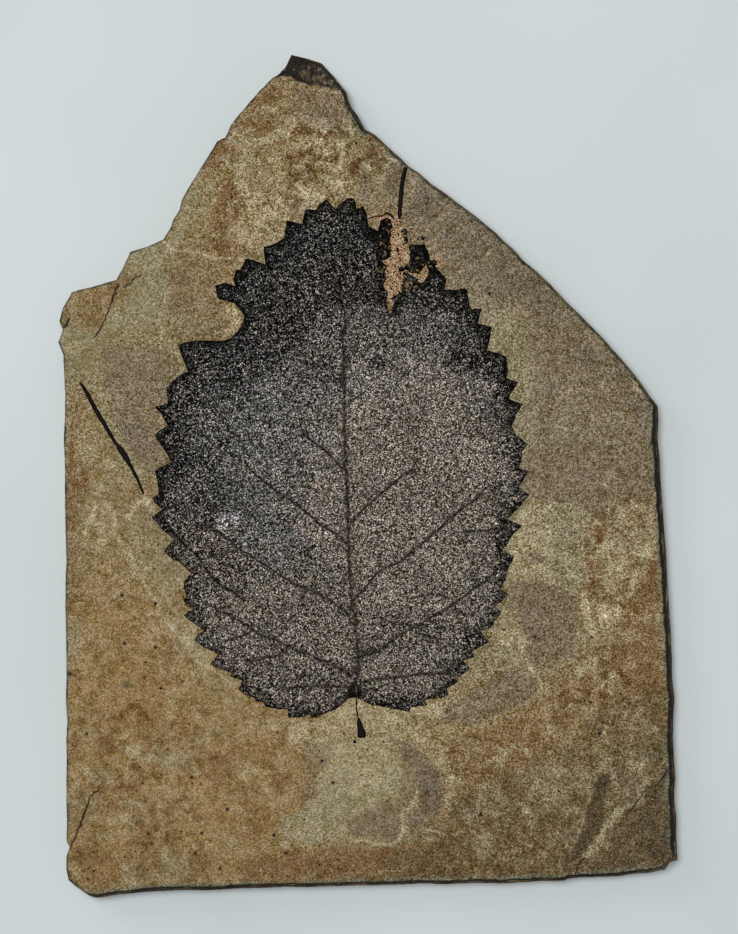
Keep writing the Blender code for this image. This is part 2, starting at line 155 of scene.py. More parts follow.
def anticlockwiseLoop(edges):
    # vertices in order round a ring of edges
    besides = {}
    for edge in edges:
        for a, b in (edge.verts, reversed(edge.verts)):
            besides.setdefault(a, []).append(b)
    loop = [next(iter(besides))]
    loop.append(besides[loop[0]][0])
    while True:
        following = [v for v in besides[loop[-1]] if v is not loop[-2]]
        if not following or following[0] is loop[0]:
            break
        loop.append(following[0])
    x = np.array([v.co.x for v in loop])
    y = np.array([v.co.y for v in loop])
    turning = np.sum(x * np.roll(y, -1) - np.roll(x, -1) * y)
    return loop if turning > 0 else loop[::-1]


def filmOutline(nodeName):
    # the upper edge of a film's upright walls, seen from above
    mesh = mergedCopy(nodeName)
    rim = [
        e for e in mesh.edges
        if abs(min(f.normal.z for f in e.link_faces)) < 0.3 and max(f.normal.z for f in e.link_faces) > 0.6
    ]
    outline = [(v.co.x, v.co.y) for v in anticlockwiseLoop(rim)]
    mesh.free()
    return outline


def slabRings(nodeName, ringCount):
    # the slab's side as rings of matching vertices, from the foot up to the top edge
    mesh = mergedCopy(nodeName)
    layer = {v for v in mesh.verts if v.co.z < 0.01}
    seen = set()
    rings = []
    while len(rings) < ringCount:
        above = {e.other_vert(v) for v in layer for e in v.link_edges} - seen - layer
        nextTo = seen if seen else above
        edges = [
            e for e in mesh.edges
            if e.verts[0] in layer and e.verts[1] in layer
            and any(v in nextTo for f in e.link_faces for v in f.verts)
        ]
        ring = np.array([tuple(v.co) for v in anticlockwiseLoop(edges)])
        if rings:  # turn the ring so that its points stand over those below
            gaps = [
                np.sum((np.roll(ring, -k, axis=0)[:, :2] - rings[-1][:, :2]) ** 2) for k in range(len(ring))
            ]
            ring = np.roll(ring, -int(np.argmin(gaps)), axis=0)
        rings.append(ring)
        seen |= layer
        layer = above
    mesh.free()
    return rings


def newObject(name, data):
    made = bpy.data.objects.new(name, data)
    bpy.context.scene.collection.objects.link(made)
    return made


def newPiece(name, points, faces, material, slot, replaces=(), tones=None, sharpAngle=None):
    # a piece from points in millimetres, with point attributes for its material
    mesh = bpy.data.meshes.new(name)
    mesh.from_pydata((np.asarray(points) * metre).tolist(), [], faces)
    mesh.materials.append(material)
    for toneName, values in (tones or {}).items():
        attribute = mesh.attributes.new(toneName, "FLOAT", "POINT")
        attribute.data.foreach_set("value", np.asarray(values, np.float32))
    mesh.shade_smooth()
    if sharpAngle:
        mesh.set_sharp_from_angle(angle=math.radians(sharpAngle))
    mesh.update()
    return settle(newObject(name, mesh), slot, replaces)


def settle(piece, slot, replaces=()):
    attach(piece, "root")
    if replaces:
        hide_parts(*replaces)
    triangles = sum(len(p.vertices) - 2 for p in piece.data.polygons)
    print(f"{piece.name}: {len(piece.data.vertices)} points, {triangles} triangles")
    return piece


# The camera looks straight down; floor and lights are a plain pale studio.
studio = {
    "cameraHeight": 620.0,  # above the bedding plane
    "cameraOver": (0.16, 1.84),
    "frameLength": 186.25,  # length of the bedding plane that fills the frame's long side
    "beddingPlane": 8.0,
    "sensor": 36.0,
    "floorSize": 3200.0,
    "skyStrength": 0.25,
    "skyColour": "#f2f6fb",
}
camera = newObject("camera", bpy.data.cameras.new("camera"))
camera.data.sensor_width = studio["sensor"]
camera.data.lens = studio["sensor"] * studio["cameraHeight"] / studio["frameLength"]
camera.data.clip_start, camera.data.clip_end = 0.01, 20
camera.location = Vector((*studio["cameraOver"], studio["cameraHeight"] + studio["beddingPlane"])) * metre
bpy.context.scene.camera = camera
bpy.context.scene.view_settings.view_transform = "Standard"

world = bpy.data.worlds.new("softRoom")
world.use_nodes = True
world.node_tree.nodes["Background"].inputs["Color"].default_value = linearColour(studio["skyColour"])
world.node_tree.nodes["Background"].inputs["Strength"].default_value = studio["skyStrength"]
bpy.context.scene.world = world

# name: power in watts, width, and where it hangs, aimed at the slab's middle
softBoxes = {
    "overhead": (11.7, 420.0, (-140.0, 140.0, 1250.0)),
    "window": (2.2, 500.0, (-800.0, 620.0, 760.0)),
}
for boxName, (power, width, hangsAt) in softBoxes.items():
    light = newObject(boxName, bpy.data.lights.new(boxName, "AREA"))
    light.data.energy = power
    light.data.size = width * metre
    light.data.color = (1.0, 0.985, 0.96)
    light.location = Vector(hangsAt) * metre
    light.rotation_mode = "QUATERNION"
    light.rotation_quaternion = (-Vector(hangsAt)).to_track_quat("-Z", "Y")


def newMaterial(name):
    # an empty material and its millimetre coordinates
    material = bpy.data.materials.new(name)
    material.use_nodes = True
    tree = material.node_tree
    tree.nodes.clear()
    place = addNode(tree, "ShaderNodeTexCoord").outputs["Object"]
    grid = addNode(tree, "ShaderNodeMapping", {"Vector": place, "Scale": (1 / metre,) * 3}).outputs["Vector"]
    return material, tree, grid


def finishMaterial(tree, colour, roughness, specular, bumpHeight=None, bumpDistance=0.0):
    shaderInputs = {"Base Color": colour, "Roughness": roughness, "Specular IOR Level": specular, "IOR": 1.5}
    if bumpHeight is not None:
        bump = addNode(
            tree, "ShaderNodeBump", {"Height": bumpHeight, "Distance": bumpDistance * metre, "Strength": 1.0},
        )
        shaderInputs["Normal"] = bump.outputs["Normal"]
    shader = addNode(tree, "ShaderNodeBsdfPrincipled", shaderInputs)
    addNode(tree, "ShaderNodeOutputMaterial", {"Surface": shader.outputs["BSDF"]})


# Laminated floor: pressed resin sheet, smooth and faintly uneven in tone.
floorMaterial, tree, grid = newMaterial("paleLaminate")
cloud = addNode(tree, "ShaderNodeTexNoise", {"Vector": grid, "Scale": 1 / 90, "Detail": 2.0}).outputs[0]
floorTone = addNode(tree, "ShaderNodeValToRGB", {"Fac": cloud}, ramp=[(0.35, "#c6d0d2"), (0.65, "#cdd5d8")])
finishMaterial(tree, floorTone.outputs["Color"], roughness=0.6, specular=0.2)

half = studio["floorSize"] / 2 * metre
floorMesh = bpy.data.meshes.new("floor")
floorMesh.from_pydata(
    [(-half, -half, 0), (half, -half, 0), (half, half, 0), (-half, half, 0)], [], [(0, 1, 2, 3)],
)
floorMesh.materials.append(floorMaterial)
floor = newObject("floor", floorMesh)
floor.location.z = -0.02 * metre
print("camera, lights and floor made")

# Shale: clay pressed and split along its bedding, matt, with iron stains in brown and rust where water
# has crept in and green-grey where it is fresh. The eye gets a fine grain over broad soft patches.
shaleLook = {
    "matrix": "#827253",
    "ochreTone": "#8f744a",
    "rustTone": "#715533",
    "greyTone": "#716757",
    "patchTone": "#746650",
    "greenTone": "#8b8264",
    "creamTone": "#a8997a",
    "bareTone": "#9a7e61",
    "oliveTone": "#4f4129",
    # darkTone is near black: dark rock, cracks and pits, and also painted shade along the steep broken edges,
    # the top rim and the upper sides
    "darkTone": "#1d140d",
    "freshRock": "#6b6d58",
    "wispTone": "#9a9170",
    "blotchTone": "#5f4329",
    "grainSize": 0.21,  # real clay and silt grains are several times finer
    "grainContrast": 0.51,
    "smoothContrast": 0.29,  # where the clay is finest
    "tintedGrain": 0.41,  # how much of the grain takes the rock's colour, over an even tone
    "evenTone": 0.59,
    "plainGrain": 0.55,  # how much of it is plain light and dark
    "grainHue": 0.02,
    "brightness": 0.91,
    "fraySize": 2.2,
    "mottleSize": 2.4,
    "wispSize": 6.5,
    "driftSize": 24.0,
    "threadSize": 5.0,
    "pepperSpacing": 1.7,
    "pepperSize": 0.19,
    "beddingSpacing": 0.9,
}
shaleTones = {name: linearColour(value) for name, value in shaleLook.items() if isinstance(value, str)}
shaleMaterial, tree, grid = newMaterial("splitShale")
frayNoise = addNode(
    tree, "ShaderNodeTexNoise",
    {"Vector": grid, "Scale": 1 / shaleLook["fraySize"], "Detail": 5.0, "Roughness": 0.7, "Distortion": 0.6},
).outputs[0]
frayed = addNode(tree, "ShaderNodeMath", {0: frayNoise, 1: 2.2, 2: -1.1}, operation="MULTIPLY_ADD").outputs[0]
plainTones = ("mottle", "fineClay", "sideFace")
stainTones = (
    "freshRock", "ochreTone", "greyTone", "greenTone", "rustTone", "creamTone", "patchTone", "bareTone",
    "oliveTone", "wispTone", "darkTone",
)
toneShares = {}
for toneName in (*plainTones, *stainTones):
    share = addNode(tree, "ShaderNodeAttribute", attribute_name=toneName).outputs["Fac"]
    if toneName in stainTones:  # the patches' edges fray into the rock
        edge = addNode(tree, "ShaderNodeMath", {0: share, 1: math.pi}, operation="MULTIPLY").outputs[0]
        edge = addNode(tree, "ShaderNodeMath", {0: edge}, operation="SINE").outputs[0]
        loose = addNode(tree, "ShaderNodeMath", {0: frayed, 1: edge}, operation="MULTIPLY").outputs[0]
        share = addNode(
            tree, "ShaderNodeMath", {0: share, 1: loose}, operation="ADD", use_clamp=True,
        ).outputs[0]
    toneShares[toneName] = share
grainNode = addNode(tree, "ShaderNodeTexVoronoi", {"Vector": grid, "Scale": 1 / shaleLook["grainSize"]})
grain = addNode(tree, "ShaderNodeSeparateColor", {"Color": grainNode.outputs["Color"]}).outputs
noises = []
for sizeName, detail, roughness, distortion in (
    ("mottleSize", 4.0, 0.62, 0.3),
    ("wispSize", 5.0, 0.62, 1.6),
    ("driftSize", 3.0, 0.55, 0.0),
    ("threadSize", 3.0, 0.55, 0.8),
):
    inputs = {
        "Scale": 1 / shaleLook[sizeName], "Detail": detail, "Roughness": roughness, "Distortion": distortion,
    }
    noises.append(addNode(tree, "ShaderNodeTexNoise", {"Vector": grid, **inputs}).outputs[0])
mottle, wisps, drift, threads = noises

colour = shaleTones["matrix"]
pale = addNode(
    tree, "ShaderNodeMapRange", {"Value": drift, "From Min": 0.5, "From Max": 0.75, "To Max": 0.35},
).outputs[0]
colour = addNode(
    tree, "ShaderNodeMix", {0: pale, 6: colour, 7: shaleTones["greenTone"]}, data_type="RGBA",
).outputs[2]
for toneName in ("ochreTone", "greyTone", "rustTone"):
    stain = {0: toneShares[toneName], 6: colour, 7: shaleTones[toneName]}
    colour = addNode(tree, "ShaderNodeMix", stain, data_type="RGBA").outputs[2]
# wisps and blotches where the stain has wandered, strongest where the mottle is
depth = addNode(
    tree, "ShaderNodeMath", {0: toneShares["mottle"], 1: 0.62, 2: 0.2}, operation="MULTIPLY_ADD",
).outputs[0]
wispShare = addNode(
    tree, "ShaderNodeMapRange", {"Value": wisps, "From Min": 0.5, "From Max": 0.62},
).outputs[0]
laidOn = addNode(tree, "ShaderNodeMath", {0: wispShare, 1: depth}, operation="MULTIPLY").outputs[0]
colour = addNode(
    tree, "ShaderNodeMix", {0: laidOn, 6: colour, 7: shaleTones["wispTone"]}, data_type="RGBA",
).outputs[2]
slowPart = addNode(tree, "ShaderNodeMath", {0: drift, 1: 0.4}, operation="MULTIPLY").outputs[0]
blotchNoise = addNode(
    tree, "ShaderNodeMath", {0: mottle, 1: 0.6, 2: slowPart}, operation="MULTIPLY_ADD",
).outputs[0]
blotchShare = addNode(
    tree, "ShaderNodeMapRange", {"Value": blotchNoise, "From Min": 0.49, "From Max": 0.4},
).outputs[0]
laidOn = addNode(tree, "ShaderNodeMath", {0: blotchShare, 1: depth}, operation="MULTIPLY").outputs[0]
colour = addNode(
    tree, "ShaderNodeMix", {0: laidOn, 6: colour, 7: shaleTones["blotchTone"]}, data_type="RGBA",
).outputs[2]
# thin pale threads where the top lamina has parted
ridge = addNode(tree, "ShaderNodeMath", {0: threads, 1: 0.5}, operation="SUBTRACT").outputs[0]
ridge = addNode(tree, "ShaderNodeMath", {0: ridge}, operation="ABSOLUTE").outputs[0]
threadShare = addNode(
    tree, "ShaderNodeMapRange", {"Value": ridge, "From Min": 0.022, "From Max": 0.004},
).outputs[0]
laidOn = addNode(tree, "ShaderNodeMath", {0: depth, 1: wispShare}, operation="MULTIPLY").outputs[0]
laidOn = addNode(tree, "ShaderNodeMath", {0: threadShare, 1: laidOn}, operation="MULTIPLY").outputs[0]
colour = addNode(
    tree, "ShaderNodeMix", {0: laidOn, 6: colour, 7: shaleTones["creamTone"]}, data_type="RGBA",
).outputs[2]
for toneName in ("greenTone", "creamTone", "patchTone", "bareTone", "oliveTone", "wispTone"):
    stain = {0: toneShares[toneName], 6: colour, 7: shaleTones[toneName]}
    colour = addNode(tree, "ShaderNodeMix", stain, data_type="RGBA").outputs[2]

# split edges: thin beds, each its own grey, brown or green
beds = addNode(
    tree, "ShaderNodeMapping", {"Vector": grid, "Scale": (0.03, 0.03, 1 / shaleLook["beddingSpacing"])},
)
bedNoise = addNode(
    tree, "ShaderNodeTexNoise",
    {"Vector": beds.outputs["Vector"], "Scale": 1.6, "Detail": 5.0, "Roughness": 0.7},
)
bedStops = [
    (0.32, "#33291f"), (0.42, "#6f5a40"), (0.47, "#8a7856"), (0.51, "#655f4c"), (0.56, "#a29272"),
    (0.62, "#7c5634"), (0.7, "#40352a"),
]
bedTone = addNode(tree, "ShaderNodeValToRGB", {"Fac": bedNoise.outputs[0]}, ramp=bedStops).outputs["Color"]
seep = addNode(
    tree, "ShaderNodeMapRange", {"Value": wisps, "From Min": 0.48, "From Max": 0.64, "To Max": 0.6},
).outputs[0]
bedTone = addNode(
    tree, "ShaderNodeMix", {0: seep, 6: bedTone, 7: shaleTones["rustTone"]}, data_type="RGBA",
).outputs[2]
colour = addNode(
    tree, "ShaderNodeMix", {0: toneShares["sideFace"], 6: colour, 7: bedTone}, data_type="RGBA",
).outputs[2]
# fresh rock, then near black, which also lays the painted shade along the broken edge and the sides
for toneName in ("freshRock", "darkTone"):
    stain = {0: toneShares[toneName], 6: colour, 7: shaleTones[toneName]}
    colour = addNode(tree, "ShaderNodeMix", stain, data_type="RGBA").outputs[2]

# grain and mottling, weighed as the eye weighs them
smooth = addNode(
    tree, "ShaderNodeMath", {0: toneShares["fineClay"], 1: toneShares["sideFace"]}, operation="MAXIMUM",
).outputs[0]
contrast = addNode(
    tree, "ShaderNodeMapRange",
    {"Value": smooth, "To Min": shaleLook["grainContrast"], "To Max": shaleLook["smoothContrast"]},
).outputs[0]
grainSwing = addNode(
    tree, "ShaderNodeMath", {0: grain["Red"], 1: 2.0, 2: -1.0}, operation="MULTIPLY_ADD",
).outputs[0]
grainPart = addNode(
    tree, "ShaderNodeMath", {0: grainSwing, 1: contrast, 2: 1.0}, operation="MULTIPLY_ADD",
).outputs[0]
mottleDepth = addNode(
    tree, "ShaderNodeMath", {0: toneShares["mottle"], 1: 0.5, 2: 0.5}, operation="MULTIPLY_ADD",
).outputs[0]
mottlePart = addNode(tree, "ShaderNodeMath", {0: mottle, 1: 0.5}, operation="SUBTRACT").outputs[0]
mottlePart = addNode(tree, "ShaderNodeMath", {0: mottlePart, 1: mottleDepth}, operation="MULTIPLY").outputs[0]
brightness = addNode(tree, "ShaderNodeMath", {0: grainPart, 1: mottlePart}, operation="ADD").outputs[0]
brightness = addNode(tree, "ShaderNodeMath", {0: brightness, 1: 2.2}, operation="POWER").outputs[0]
pepper = addNode(tree, "ShaderNodeTexVoronoi", {"Vector": grid, "Scale": 1 / shaleLook["pepperSpacing"]})
pepperSize = addNode(tree, "ShaderNodeSeparateColor", {"Color": pepper.outputs["Color"]}).outputs["Green"]
pepperSize = addNode(
    tree, "ShaderNodeMath", {0: pepperSize, 1: shaleLook["pepperSize"], 2: 0.0}, operation="MULTIPLY_ADD",
).outputs[0]
pepperDot = addNode(
    tree, "ShaderNodeMath", {0: pepper.outputs["Distance"], 1: pepperSize}, operation="DIVIDE",
).outputs[0]
pepperDot = addNode(
    tree, "ShaderNodeMapRange",
    {"Value": pepperDot, "From Min": 0.6, "From Max": 1.1, "To Min": 0.2, "To Max": 1.0},
).outputs[0]
brightness = addNode(tree, "ShaderNodeMath", {0: brightness, 1: pepperDot}, operation="MULTIPLY").outputs[0]
brightness = addNode(
    tree, "ShaderNodeMath", {0: brightness, 1: shaleLook["brightness"]}, operation="MULTIPLY",
).outputs[0]
# Pale grains are greyer than the rock between them. So rather less than half of the grain multiplies the
# rock's own colour, and the rest is added as plain light and dark.
lightness = addNode(tree, "ShaderNodeRGBToBW", {"Color": colour}).outputs[0]
plainPart = addNode(
    tree, "ShaderNodeMath", {0: brightness, 1: shaleLook["plainGrain"], 2: -shaleLook["plainGrain"]},
    operation="MULTIPLY_ADD",
).outputs[0]
plainPart = addNode(tree, "ShaderNodeMath", {0: lightness, 1: plainPart}, operation="MULTIPLY").outputs[0]
tintedPart = addNode(
    tree, "ShaderNodeMath", {0: brightness, 1: shaleLook["tintedGrain"], 2: shaleLook["evenTone"]},
    operation="MULTIPLY_ADD",
).outputs[0]
colour = addNode(tree, "ShaderNodeVectorMath", {0: colour, "Scale": tintedPart}, operation="SCALE").outputs[0]
colour = addNode(tree, "ShaderNodeVectorMath", {0: colour, 1: plainPart}, operation="ADD").outputs[0]
# every grain has its own slight hue
ownHue = {0: shaleLook["grainHue"], 6: colour, 7: grainNode.outputs["Color"]}
colour = addNode(tree, "ShaderNodeMix", ownHue, data_type="RGBA").outputs[2]
shaleBump = addNode(tree, "ShaderNodeMath", {0: grain["Red"], 1: 0.25}, operation="MULTIPLY").outputs[0]
shaleBump = addNode(tree, "ShaderNodeMath", {0: shaleBump, 1: mottle}, operation="ADD").outputs[0]
finishMaterial(tree, colour, roughness=0.88, specular=0.1, bumpHeight=shaleBump, bumpDistance=0.12)

# Carbon film: leaf tissue pressed to coal dust, matt black seen through pale specks of clay.
# It gives a sharp salt-and-pepper grain, darker and smoother along the margin.
filmLook = {
    "coolTint": "#5e6461",
    "warmTint": "#68665c",
    "roseTint": "#69665e",
    "chalkTint": "#74797e",  # a crust of pale clay left on the film
    "rockTint": "#8a7250",  # bare rock where the film has worn through
    "speckSize": 0.182,  # real specks of clay are finer than the eye can part
    "speckHue": 0.05,
    "clumpSize": 1.0,
    "tissueSize": 6.5,
    "darkSpan": 0.16,  # how bright the specks get in the darkest and the lightest film
    "lightSpan": 0.442,
    "darkFloor": 0.03,  # how much of the coal's own brown shows between them
    "lightFloor": 1.0,
    "coalTint": "#1c150b",
    "greyPoint": "#6a6763",  # the grey that the tints are measured against
    "marginWidth": 2.4,
    "edgeLine": 0.3,
    "wearSize": 0.9,
}
filmTones = {name: linearColour(value) for name, value in filmLook.items() if isinstance(value, str)}
filmMaterial, tree, grid = newMaterial("carbonFilm")
filmShares = {
    toneName: addNode(tree, "ShaderNodeAttribute", attribute_name=toneName).outputs["Fac"]
    for toneName in (
        "filmLight", "filmWarm", "marginDistance", "marginShade", "veinTone", "wornShare", "chalk",
    )
}
specks = addNode(tree, "ShaderNodeTexVoronoi", {"Vector": grid, "Scale": 1 / filmLook["speckSize"]})
speck = addNode(tree, "ShaderNodeSeparateColor", {"Color": specks.outputs["Color"]}).outputs
clump = addNode(
    tree, "ShaderNodeTexNoise",
    {"Vector": grid, "Scale": 1 / filmLook["clumpSize"], "Detail": 3.0, "Roughness": 0.6},
).outputs[0]
tissue = addNode(
    tree, "ShaderNodeTexNoise",
    {"Vector": grid, "Scale": 1 / filmLook["tissueSize"], "Detail": 4.0, "Roughness": 0.6},
).outputs[0]
edgeWarp = addNode(tree, "ShaderNodeMath", {0: clump, 1: 1.6, 2: -0.8}, operation="MULTIPLY_ADD").outputs[0]
inwards = addNode(
    tree, "ShaderNodeMath", {0: filmShares["marginDistance"], 1: edgeWarp}, operation="ADD",
).outputs[0]
inwards = addNode(
    tree, "ShaderNodeMapRange",
    {"Value": inwards, "From Min": 0.2, "From Max": filmLook["marginWidth"], "To Min": 0.0, "To Max": 1.0},
    interpolation_type="SMOOTHSTEP",
).outputs[0]
# the margin darkens most over the far half of the leaf; a thin black line follows it all round
shaded = addNode(tree, "ShaderNodeMath", {0: 1.0, 1: inwards}, operation="SUBTRACT").outputs[0]
shaded = addNode(
    tree, "ShaderNodeMath", {0: shaded, 1: filmShares["marginShade"]}, operation="MULTIPLY",
).outputs[0]
inwards = addNode(tree, "ShaderNodeMath", {0: 1.0, 1: shaded}, operation="SUBTRACT").outputs[0]
edgeLine = addNode(
    tree,
    "ShaderNodeMapRange",
    {
        "Value": filmShares["marginDistance"], "From Min": 0.3 * filmLook["edgeLine"],
        "From Max": filmLook["edgeLine"], "To Min": 0.15,
    },
).outputs[0]
lightness = addNode(
    tree, "ShaderNodeMath", {0: filmShares["filmLight"], 1: inwards}, operation="MULTIPLY",
).outputs[0]
span = addNode(
    tree, "ShaderNodeMapRange",
    {"Value": lightness, "To Min": filmLook["darkSpan"], "To Max": filmLook["lightSpan"]},
).outputs[0]
coalShare = addNode(tree, "ShaderNodeMath", {0: lightness, 1: 2.2}, operation="POWER").outputs[0]
coalShare = addNode(
    tree, "ShaderNodeMapRange",
    {"Value": coalShare, "To Min": filmLook["darkFloor"], "To Max": filmLook["lightFloor"]},
).outputs[0]
rimDimming = addNode(
    tree, "ShaderNodeMath", {0: inwards, 1: 0.82, 2: 0.18}, operation="MULTIPLY_ADD",
).outputs[0]
rimDimming = addNode(tree, "ShaderNodeMath", {0: rimDimming, 1: edgeLine}, operation="MULTIPLY").outputs[0]
span = addNode(tree, "ShaderNodeMath", {0: span, 1: rimDimming}, operation="MULTIPLY").outputs[0]
# the darker the film, the fewer and harder the bright specks
gloom = addNode(tree, "ShaderNodeMath", {0: 1.0, 1: lightness}, operation="SUBTRACT").outputs[0]
hardness = addNode(tree, "ShaderNodeMath", {0: gloom, 1: gloom}, operation="MULTIPLY").outputs[0]
hardness = addNode(tree, "ShaderNodeMath", {0: hardness, 1: 4.8, 2: 3.7}, operation="MULTIPLY_ADD").outputs[0]
glint = addNode(tree, "ShaderNodeMath", {0: speck["Red"], 1: hardness}, operation="POWER").outputs[0]
glintScale = addNode(
    tree, "ShaderNodeMath", {0: hardness, 1: 0.29, 2: 0.29}, operation="MULTIPLY_ADD",
).outputs[0]
glint = addNode(tree, "ShaderNodeMath", {0: glint, 1: glintScale}, operation="MULTIPLY").outputs[0]
lumpSwing = addNode(
    tree, "ShaderNodeMath", {0: lightness, 1: -1.9, 2: 3.4}, operation="MULTIPLY_ADD",
).outputs[0]
lumps = addNode(tree, "ShaderNodeMath", {0: clump, 1: 0.5}, operation="SUBTRACT").outputs[0]
lumps = addNode(tree, "ShaderNodeMath", {0: lumps, 1: lumpSwing, 2: 1.0}, operation="MULTIPLY_ADD").outputs[0]
lumps = addNode(tree, "ShaderNodeMath", {0: lumps, 1: 0.08}, operation="MAXIMUM").outputs[0]
cloudy = addNode(tree, "ShaderNodeMath", {0: tissue, 1: 1.1, 2: 0.45}, operation="MULTIPLY_ADD").outputs[0]
value = addNode(tree, "ShaderNodeMath", {0: glint, 1: span}, operation="MULTIPLY").outputs[0]
cloudy = addNode(tree, "ShaderNodeMath", {0: lumps, 1: cloudy}, operation="MULTIPLY").outputs[0]
value = addNode(tree, "ShaderNodeMath", {0: value, 1: cloudy}, operation="MULTIPLY").outputs[0]
veinDimming = addNode(
    tree, "ShaderNodeMath", {0: filmShares["veinTone"], 1: -0.93, 2: 1.0}, operation="MULTIPLY_ADD",
).outputs[0]
value = addNode(tree, "ShaderNodeMath", {0: value, 1: veinDimming}, operation="MULTIPLY").outputs[0]
crust = addNode(
    tree, "ShaderNodeMath", {0: filmShares["chalk"], 1: speck["Blue"]}, operation="MULTIPLY",
).outputs[0]
crust = addNode(tree, "ShaderNodeMath", {0: crust, 1: 1.7, 2: 1.0}, operation="MULTIPLY_ADD").outputs[0]
value = addNode(tree, "ShaderNodeMath", {0: value, 1: crust}, operation="MULTIPLY").outputs[0]
tint = addNode(
    tree, "ShaderNodeMix", {0: filmShares["filmWarm"], 6: filmTones["coolTint"], 7: filmTones["warmTint"]},
    data_type="RGBA",
).outputs[2]
rosy = addNode(
    tree, "ShaderNodeMapRange", {"Value": tissue, "From Min": 0.45, "From Max": 0.7, "To Max": 0.7},
).outputs[0]
for amount, hue in (
    (rosy, filmTones["roseTint"]),
    (filmShares["chalk"], filmTones["chalkTint"]),
    (filmLook["speckHue"], specks.outputs["Color"]),  # every speck has its own slight hue
):
    tint = addNode(tree, "ShaderNodeMix", {0: amount, 6: tint, 7: hue}, data_type="RGBA").outputs[2]
tint = addNode(
    tree, "ShaderNodeVectorMath", {0: tint, "Scale": 1 / filmTones["greyPoint"][0]}, operation="SCALE",
).outputs[0]
colour = addNode(tree, "ShaderNodeVectorMath", {0: tint, "Scale": value}, operation="SCALE").outputs[0]
coal = addNode(
    tree, "ShaderNodeVectorMath", {0: filmTones["coalTint"][:3], "Scale": coalShare}, operation="SCALE",
).outputs[0]
colour = addNode(tree, "ShaderNodeVectorMath", {0: colour, 1: coal}, operation="ADD").outputs[0]
wear = addNode(
    tree, "ShaderNodeTexNoise",
    {"Vector": grid, "Scale": 1 / filmLook["wearSize"], "Detail": 4.0, "Roughness": 0.65, "Distortion": 0.5},
).outputs[0]
wear = addNode(tree, "ShaderNodeMath", {0: wear, 1: 0.5}, operation="SUBTRACT").outputs[0]
wear = addNode(
    tree, "ShaderNodeMath", {0: filmShares["wornShare"], 1: 0.62, 2: wear}, operation="MULTIPLY_ADD",
).outputs[0]
worn = addNode(tree, "ShaderNodeMapRange", {"Value": wear, "From Min": 0.44, "From Max": 0.5}).outputs[0]
grit = addNode(
    tree, "ShaderNodeMath", {0: speck["Green"], 1: 0.9, 2: 0.5}, operation="MULTIPLY_ADD",
).outputs[0]
rock = addNode(
    tree, "ShaderNodeVectorMath", {0: filmTones["rockTint"][:3], "Scale": grit}, operation="SCALE",
).outputs[0]
colour = addNode(tree, "ShaderNodeMix", {0: worn, 6: colour, 7: rock}, data_type="RGBA").outputs[2]
filmBump = addNode(tree, "ShaderNodeMath", {0: speck["Red"], 1: 0.3}, operation="MULTIPLY").outputs[0]
filmBump = addNode(tree, "ShaderNodeMath", {0: filmBump, 1: clump}, operation="ADD").outputs[0]
finishMaterial(tree, colour, roughness=0.8, specular=0.04, bumpHeight=filmBump, bumpDistance=0.05)

# Vein carbon: the leaf's thicker ribs, pressed to a denser, smoother coal.
veinMaterial, tree, grid = newMaterial("veinCarbon")
broken = addNode(
    tree, "ShaderNodeTexNoise", {"Vector": grid, "Scale": 1 / 0.5, "Detail": 3.0, "Roughness": 0.7},
).outputs[0]
veinTone = addNode(
    tree, "ShaderNodeValToRGB", {"Fac": broken},
    ramp=[(0.38, "#0f0c0b"), (0.5, "#221e1b"), (0.61, "#5a5149")],
)
finishMaterial(
    tree, veinTone.outputs["Color"], roughness=0.75, specular=0.05, bumpHeight=broken, bumpDistance=0.05,
)

# Coalified twig: needles and stalk turned to bright coal, near black with a dull gloss and fine cracks.
coalMaterial, tree, grid = newMaterial("coalifiedTwig")
crazing = addNode(
    tree, "ShaderNodeTexVoronoi", {"Vector": grid, "Scale": 1 / 0.6}, feature="DISTANCE_TO_EDGE",
).outputs["Distance"]
coalTone = addNode(
    tree, "ShaderNodeValToRGB", {"Fac": crazing},
    ramp=[(0.0, "#120d0b"), (0.12, "#060505"), (1.0, "#080707")],
)
finishMaterial(
    tree, coalTone.outputs["Color"], roughness=0.5, specular=0.06, bumpHeight=crazing, bumpDistance=0.04,
)

# Mineral grains: rusted pyrite and mica in the shale, dark or pale, a little glossier than the rock.
grainMaterials = {}
for grainName, stops in {
    "rustedPyrite": [(0.0, "#1f1611"), (0.6, "#3a2a1c"), (1.0, "#5a4126")],
    "paleMica": [(0.0, "#a3936b"), (0.6, "#b7ab86"), (1.0, "#c9c2a8")],
}.items():
    grainMaterials[grainName], tree, grid = newMaterial(grainName)
    each = addNode(tree, "ShaderNodeTexVoronoi", {"Vector": grid, "Scale": 1 / 0.5}).outputs["Color"]
    grainTone = addNode(tree, "ShaderNodeValToRGB", {"Fac": each}, ramp=stops)
    finishMaterial(tree, grainTone.outputs["Color"], roughness=0.55, specular=0.4)
print("materials made")


